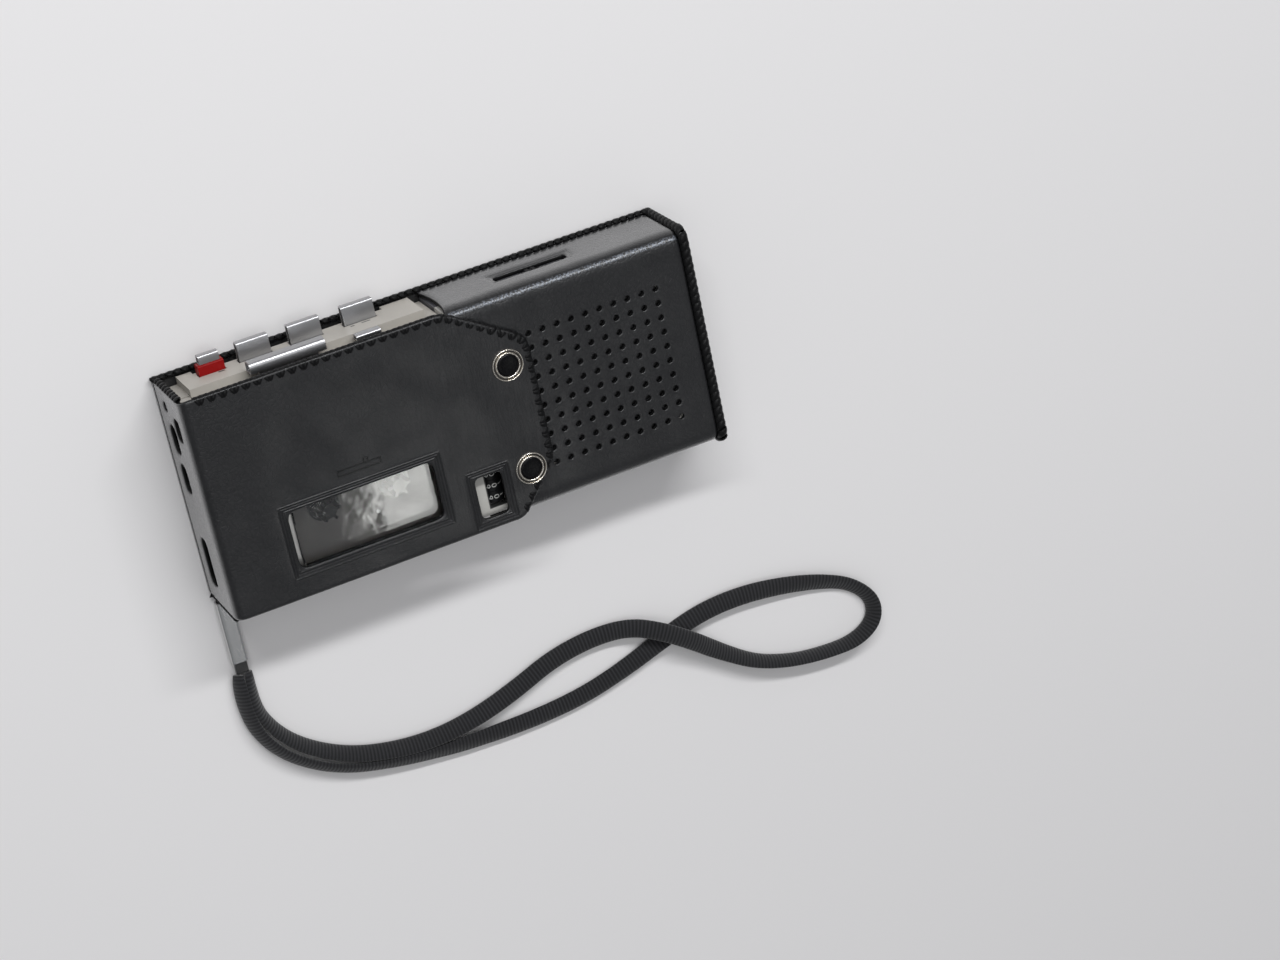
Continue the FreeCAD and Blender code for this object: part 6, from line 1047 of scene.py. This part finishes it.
# %% Lace the edges of the case
EDGE_RADII = (0.66, 0.84)
EDGE_INSET = 0.62
EDGE_LEVEL = 1.2
HOOP_X = 74.25
HOOP_RADII = (1.12, 1.22)
HOOP_THONG = (2.9, 0.55)
HOOP_INSET = 1.3
HOOP_CORNER = 4.0


def straight(start, end):
    """A path of one straight run."""
    return [(start, 0.0), (end, 0.0)]


def lace_edges(name, *runs):
    """Whips the lace along runs of (path, ring, half widths, up, lean) and makes them a piece."""
    bm = bmesh.new()
    for path, unit, (out_radius, up_radius), up, lean in runs:
        up = Vector(up)
        for spot, along in walk(path, LACE_PITCH):
            out = up.cross(along)
            add_wrap(bm, unit, spot, along, out * out_radius, up * up_radius, lean, lean)
    lacing = new_piece(name, bm, lace_leather, body="housing")
    print(name, len(lacing.data.polygons), "faces")
    return lacing


back_end = hoop.x1 - 2.5
keys_y = hoop.y1 - EDGE_INSET
low_y = hoop.y0 + EDGE_INSET
back_keys = straight((wall.x0 + 1, keys_y, EDGE_LEVEL), (back_end, keys_y, EDGE_LEVEL))
back_low = straight((back_end, low_y, EDGE_LEVEL), (wall.x0 + 1, low_y, EDGE_LEVEL))
lace_edges(
    "back_lacing",
    (back_keys, wrap_mesh, EDGE_RADII, (0, 0, 1), -LACE_LEAN),
    (back_low, wrap_mesh, EDGE_RADII, (0, 0, 1), LACE_LEAN),
)
wall_edge = wall.x0 + 1.1
wall_keys = straight((wall_edge, keys_y, 3.2), (wall_edge, keys_y, 21.4))
wall_low = straight((wall_edge, low_y, 21.4), (wall_edge, low_y, 3.2))
lace_edges(
    "wall_lacing",
    (wall_keys, wrap_mesh, EDGE_RADII, (-1, 0, 0), LACE_LEAN),
    (wall_low, wrap_mesh, EDGE_RADII, (-1, 0, 0), -LACE_LEAN),
)
hoop_wrap = spin_wrap("hoop_wrap", *HOOP_THONG)
hoop_round = HOOP_CORNER - HOOP_INSET
hoop_top = hoop.z1 - HOOP_INSET
hoop_path = [
    ((HOOP_X, hoop.y0 + HOOP_INSET, 1.5), 0.0),
    ((HOOP_X, hoop.y0 + HOOP_INSET, hoop_top), hoop_round),
    ((HOOP_X, hoop.y1 - HOOP_INSET, hoop_top), hoop_round),
    ((HOOP_X, hoop.y1 - HOOP_INSET, 1.5), 0.0),
]
foot_path = straight((HOOP_X, hoop.y1 - 3.0, EDGE_LEVEL), (HOOP_X, hoop.y0 + 3.0, EDGE_LEVEL))
hoop_lacing = lace_edges(
    "hoop_lacing",
    (hoop_path, hoop_wrap, HOOP_RADII, (1, 0, 0), LACE_LEAN),
    (foot_path, wrap_mesh, EDGE_RADII, (0, 0, 1), -LACE_LEAN),
)
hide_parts("case_binding")

# %% [markdown]
# The flap's edge is stitched with pairs of slanting wraps that meet in one hole, so they read as
# a row of dark wedges. Each wrap narrows towards its hole. The lower edge of the flap is plain.

# %% Stitch the edge of the flap
STITCH_PITCH = 3.3
STITCH_INSET = 1.25
STITCH_RADII = (1.36, 1.18)
STITCH_SPREAD = 0.40
STITCH_THONG = (2.2, 0.36)
STITCH_WIDTH = 0.92
stitch_mesh = spin_wrap("stitch", *STITCH_THONG, taper=0.7)
flap_middle = (flap.z0 + flap.z1) / 2
stitch_corners = [
    ((FOLD_X + 3.0, flap.y1), 0.0),
    ((FLAP_CORNERS[3][0][0], flap.y1), FLAP_CORNERS[3][1]),
    FLAP_CORNERS[2], FLAP_CORNERS[1],
    ((12.6, -32.1), 0.0),
]
stitch_path = [((x, y, flap_middle), radius) for (x, y), radius in stitch_corners]
up = Vector((0, 0, 1))
bm = bmesh.new()
for spot, along in walk(stitch_path, STITCH_PITCH):
    out = up.cross(along)
    for side in (-1, 1):
        place = spot - out * STITCH_INSET + along * side * STITCH_SPREAD * 1.3
        radii = (along * STITCH_WIDTH, out * STITCH_RADII[0], up * STITCH_RADII[1])
        add_wrap(bm, stitch_mesh, place, *radii, side * STITCH_SPREAD)
flap_stitches = new_piece("flap_stitches", bm, lace_leather, body="flap")
print("stitches:", len(flap_stitches.data.polygons), "faces")

# %% [markdown]
# Snap rings and caps are turned parts, so an outline is drawn once and spun. The ring has a
# broad outer bead, a deep groove, a narrow inner bead and the wall of the cup. The cap is dished
# and closed in its middle.

# %% Turn the snap rings and caps


def turn_outline(bm, outline, centre, base, steps, close=True):
    """Spins an outline of radius and height about an upright axis, and closes its ends."""
    x, y = centre
    spots = [bm.verts.new((x + radius, y, base + rise)) for radius, rise in outline]
    edges = [bm.edges.new(pair) for pair in zip(spots, spots[1:])]
    bmesh.ops.spin(
        bm, geom=spots + edges, cent=(x, y, 0), axis=(0, 0, 1), angle=math.tau, steps=steps,
        use_merge=True,
    )
    bmesh.ops.remove_doubles(bm, verts=bm.verts, dist=0.001)
    if close:
        bmesh.ops.holes_fill(bm, edges=[edge for edge in bm.edges if edge.is_boundary])
    bmesh.ops.recalc_face_normals(bm, faces=bm.faces)


SNAP_SPOTS = [(15.2, 10.65), (15.2, -20.75)]
RING_OUTLINE = [
    (4.66, -0.05), (4.72, 0.25), (4.62, 0.55), (4.42, 0.68), (4.22, 0.50), (4.14, 0.10), (4.06, -0.30),
    (3.96, -0.30), (3.88, 0.10), (3.74, 0.56), (3.50, 0.70), (3.26, 0.58), (3.14, 0.28), (3.08, -0.10),
    (3.06, -0.60),
]
CAP_OUTLINE = [(3.10, 0.05), (3.02, 0.46), (2.40, 0.38), (1.20, 0.33), (0.0, 0.32)]
bm = bmesh.new()
for spot in SNAP_SPOTS:
    turn_outline(bm, RING_OUTLINE, spot, flap.z1, 48, close=False)
snap_rings = new_piece("turned_snap_rings", bm, snap_nickel, body="flap")
soften(snap_rings)
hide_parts("snap_rings")

bm = bmesh.new()
for spot in SNAP_SPOTS:
    turn_outline(bm, CAP_OUTLINE, spot, flap.z1, 32)
dished_caps = new_piece("dished_snap_caps", bm, snap_black, body="flap")
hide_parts("snap_caps")
print("snap rings:", len(snap_rings.data.polygons), "faces")

# %% [markdown]
# The rewind, forward and play keys are caps folded from satin metal sheet. A box is stretched to
# the size of the key, its top edges are rounded over, and each end is inset and pushed in, which
# leaves the thin edge of the sheet round a shallow recess. A stem goes down from its foot. The
# sharp edges get a fine bevel as a modifier, which leaves the shape alone. The record key's cap
# is the same without a stem.

# %% Fold the key caps
SHEET = 0.45
END_RECESS = 0.7
TOP_ROUND = 0.62
CAP_ROOT = 27.4
CAP_EDGE = 0.08
STEM_HALF = 1.5
STEM_INSET = 0.5
BEVEL_FORM = {"profile": 0.5, "affect": "EDGES", "material": -1, "offset_type": "OFFSET"}


def stretched_box(bm, low, high):
    """Adds a box between two corners and gives back its vertices."""
    made = bmesh.ops.create_cube(bm, size=1.0)["verts"]
    for vert in made:
        vert.co = Vector(low[i] + (high[i] - low[i]) * (vert.co[i] + 0.5) for i in range(3))
    return made


def fold_cap(bm, low, high, rounding):
    """A folded cap whose top looks along Y."""
    verts = stretched_box(bm, low, high)
    edges = {edge for vert in verts for edge in vert.link_edges}
    tops = [e for e in edges if all(abs(v.co.y - high[1]) < 1e-6 for v in e.verts)]
    long_tops = [e for e in tops if abs(e.verts[0].co.x - e.verts[1].co.x) > 0.1]
    bmesh.ops.bevel(bm, geom=long_tops, offset=rounding, segments=4, **BEVEL_FORM)
    for direction in (Vector((-1, 0, 0)), Vector((1, 0, 0))):
        bm.normal_update()
        ends = [face for face in bm.faces if face.normal.dot(direction) > 0.999]
        bmesh.ops.inset_individual(bm, faces=ends, thickness=SHEET, depth=0.0)
        out = bmesh.ops.extrude_face_region(bm, geom=ends)["geom"]
        fresh = [item for item in out if isinstance(item, bmesh.types.BMVert)]
        bmesh.ops.translate(bm, verts=fresh, vec=direction * -END_RECESS)
        bmesh.ops.delete(bm, geom=ends, context="FACES")


def bevel_edges(piece, width):
    """Gives the sharp edges of a piece a fine bevel."""
    edge = piece.modifiers.new("edge", "BEVEL")
    edge.width = width * MM
    edge.segments = 2
    edge.limit_method = "ANGLE"
    edge.angle_limit = math.radians(40)
    edge.harden_normals = True


def chromed_cap(name, bm, body, node):
    """Makes a cap a piece that stands for a key on its body."""
    cap = new_piece(name, bm, key_chrome, body=body)
    bevel_edges(cap, CAP_EDGE)
    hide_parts(node)
    print(name, len(cap.data.polygons), "faces")


for name in ("rewind", "forward", "play"):
    key = Extent(f"{name}_key")
    bm = bmesh.new()
    fold_cap(bm, (key.x0, CAP_ROOT, key.z0), (key.x1, key.y1, key.z1), TOP_ROUND)
    left, right = ((key.x0 + key.x1) / 2 + side * STEM_HALF for side in (-1, 1))
    stretched_box(bm, (left, key.y0, key.z0 + STEM_INSET), (right, CAP_ROOT, key.z1 - STEM_INSET))
    chromed_cap(f"{name}_cap", bm, name, f"{name}_key")

key = Extent("record_cap")
bm = bmesh.new()
fold_cap(bm, (key.x0, key.y0, key.z0), (key.x1, key.y1, key.z1), TOP_ROUND)
chromed_cap("record_tip", bm, "record", "record_cap")

# %% [markdown]
# The stop bar and the pause slider are folded in the same way. The bar is broad and well
# rounded, so it catches one wide band of light along its whole length.

# %% Fold the stop bar and the pause slider
for node, body, rounding, foot in (("stop_bar", "stop", 1.5, 2.4), ("pause_slider", "pause", 0.7, 1.2)):
    key = Extent(node)
    bm = bmesh.new()
    root = key.y1 - 2.2 * rounding
    fold_cap(bm, (key.x0, root, key.z0), (key.x1, key.y1, key.z1), rounding)
    left, right = key.x0 + foot, key.x1 - foot
    stretched_box(bm, (left, key.y0, key.z0 + STEM_INSET), (right, root, key.z1 - STEM_INSET))
    chromed_cap(f"{body}_cap", bm, body, node)

# %% [markdown]
# The counter's drums carry the figures 0 to 9 in white paint. A figure is drawn as a text curve,
# made a mesh, cut into narrow strips so that it can bend, and wrapped round its drum. The figures
# stand upright towards the loudspeaker, and the three drums are read away from the keys.

# %% Paint the counter's figures
DRUM_LIFT = 0.03
FIGURE_TALL = 1.55
FIGURE_WIDEN = 1.25
CUT_LEVELS = (-0.5, -0.2, 0.1, 0.4)
for name in ("hundreds", "tens", "units"):
    drum = Extent(f"counter_{name}_drum")
    hub = Vector((drum.x0 + drum.x1, drum.y0 + drum.y1, drum.z0 + drum.z1)) / 2
    radius = (drum.x1 - drum.x0) / 2 + DRUM_LIFT
    bm = bmesh.new()
    for figure in range(10):
        curve = bpy.data.curves.new("figure", "FONT")
        curve.body = str(figure)
        curve.align_x = curve.align_y = "CENTER"
        curve.size = FIGURE_TALL * 1.4
        writer = bpy.data.objects.new("figure", curve)
        flat = bpy.data.meshes.new_from_object(writer)
        bpy.data.objects.remove(writer)
        old = set(bm.verts)
        bm.from_mesh(flat)
        fresh = set(bm.verts) - old
        for level in CUT_LEVELS:
            faces = [face for face in bm.faces if face.verts[0] in fresh]
            edges = {edge for face in faces for edge in face.edges}
            cut = bmesh.ops.bisect_plane(
                bm, geom=[*fresh, *edges, *faces], plane_co=(0, level, 0), plane_no=(0, 1, 0),
            )
            fresh |= {item for item in cut["geom_cut"] if isinstance(item, bmesh.types.BMVert)}
        for vert in fresh:
            across, up, _ = vert.co
            angle = up / radius + math.tau * figure / 10
            around = Vector((radius * math.sin(angle), -across * FIGURE_WIDEN, radius * math.cos(angle)))
            vert.co = hub + around
    bmesh.ops.recalc_face_normals(bm, faces=bm.faces)
    for face in bm.faces:
        middle = face.calc_center_median() - hub
        if face.normal.dot(Vector((middle.x, 0, middle.z))) < 0:
            face.normal_flip()
    figures = new_piece(f"{name}_figures", bm, digit_white, body=f"{name}_drum", smooth=False)
    print(name, "drum figures:", len(figures.data.polygons), "faces")

# %% [markdown]
# A small round-headed screw holds the deck beside the spindles. Its head is a spun dome with a
# slot pressed into it.

# %% Turn the deck screw
DECK_TOP = 11.8
SCREW_SPOT = (-26.75, -23.16)
SCREW_OUTLINE = [(0.72, -0.05), (0.72, 0.10), (0.62, 0.28), (0.40, 0.40), (0.0, 0.45)]
SLOT_HALF = 0.16
SLOT_DEPTH = 0.18
bm = bmesh.new()
turn_outline(bm, SCREW_OUTLINE, SCREW_SPOT, DECK_TOP, 24)
for vert in bm.verts:
    if abs(vert.co.y - SCREW_SPOT[1]) < SLOT_HALF and vert.co.z > DECK_TOP + 0.2:
        vert.co.z -= SLOT_DEPTH
deck_screw = new_piece("deck_screw", bm, polished_steel, body="housing")
print("deck screw at", SCREW_SPOT)

# %% [markdown]
# Behind every key stands a small return spring. The round section of its wire is spun about the
# spring's axis while each step also carries it along, which winds a coil.

# %% Wind the return springs
COIL_RADIUS = 1.0
WIRE_RADIUS = 0.2
COIL_TURNS = 7
TURN_STEPS = 12
KEY_STROKES = (("record", 2.5), ("rewind", 2.5), ("forward", 2.5), ("play", 2.5), ("stop", 2.0))
KEY_NODES = {"record": "record_button", "stop": "stop_bar"}
coils = Extent("key_springs")
coil_length = coils.y1 - coils.y0
rise = (coil_length - 2 * WIRE_RADIUS) / (COIL_TURNS * TURN_STEPS)
for name, stroke in KEY_STROKES:
    key = Extent(KEY_NODES.get(name, f"{name}_key"))
    x, z = (key.x0 + key.x1) / 2, (key.z0 + key.z1) / 2
    bm = bmesh.new()
    for vert in bmesh.ops.create_circle(bm, segments=6, radius=WIRE_RADIUS)["verts"]:
        vert.co += Vector((x + COIL_RADIUS, coils.y0 + WIRE_RADIUS, z))
    bmesh.ops.spin(
        bm, geom=bm.verts[:] + bm.edges[:], cent=(x, 0, z), axis=(0, 1, 0), dvec=(0, rise, 0),
        angle=COIL_TURNS * math.tau, steps=COIL_TURNS * TURN_STEPS,
    )
    bmesh.ops.holes_fill(bm, edges=[edge for edge in bm.edges if edge.is_boundary])
    bmesh.ops.recalc_face_normals(bm, faces=bm.faces)
    coil = new_piece(f"{name}_spring", bm, spring_steel, body="housing")
    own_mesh(coil)
    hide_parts("key_springs")
    print(name, "spring:", len(coil.data.polygons), "faces")

# %% [markdown]
# The lid's window is a thick clear lens whose top comes up close under the flap. It is one block
# with its upper edges bevelled, so its sides catch a bright line, and it rides on the lid.

# %% Raise the clear lens
LENS_TOP = 23.5
LENS_BEVEL = 0.7
LENS_CORNER = 1.6
pane = Extent("lid_window")
bm = bmesh.new()
stretched_box(bm, (pane.x0, pane.y0, pane.z0), (pane.x1, pane.y1, LENS_TOP))
uprights = [e for e in bm.edges if abs(e.verts[0].co.z - e.verts[1].co.z) > 1]
bmesh.ops.bevel(bm, geom=uprights, offset=LENS_CORNER, segments=5, **BEVEL_FORM)
rims = [e for e in bm.edges if all(v.co.z > LENS_TOP - 0.01 for v in e.verts)]
bmesh.ops.bevel(bm, geom=rims, offset=LENS_BEVEL, segments=3, **BEVEL_FORM)
lens_piece = new_piece("window_lens", bm, window_clear, body="lid", smooth=False)
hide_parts("lid_window")
print("lens is", round(LENS_TOP - pane.z0, 1), "mm thick")

# %% [markdown]
# Moulded edges are never knife-sharp, so the hard constructed pieces that show get a fine bevel
# too. It is a modifier, because the constructed shapes themselves are left alone.

# %% Soften the moulded edges
for name, width in (("side_key_panel", 0.15), ("record_button", 0.15), ("strap_clasp", 0.5)):
    bevel_edges(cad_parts[name], width)
    print(name, "has softened edges")
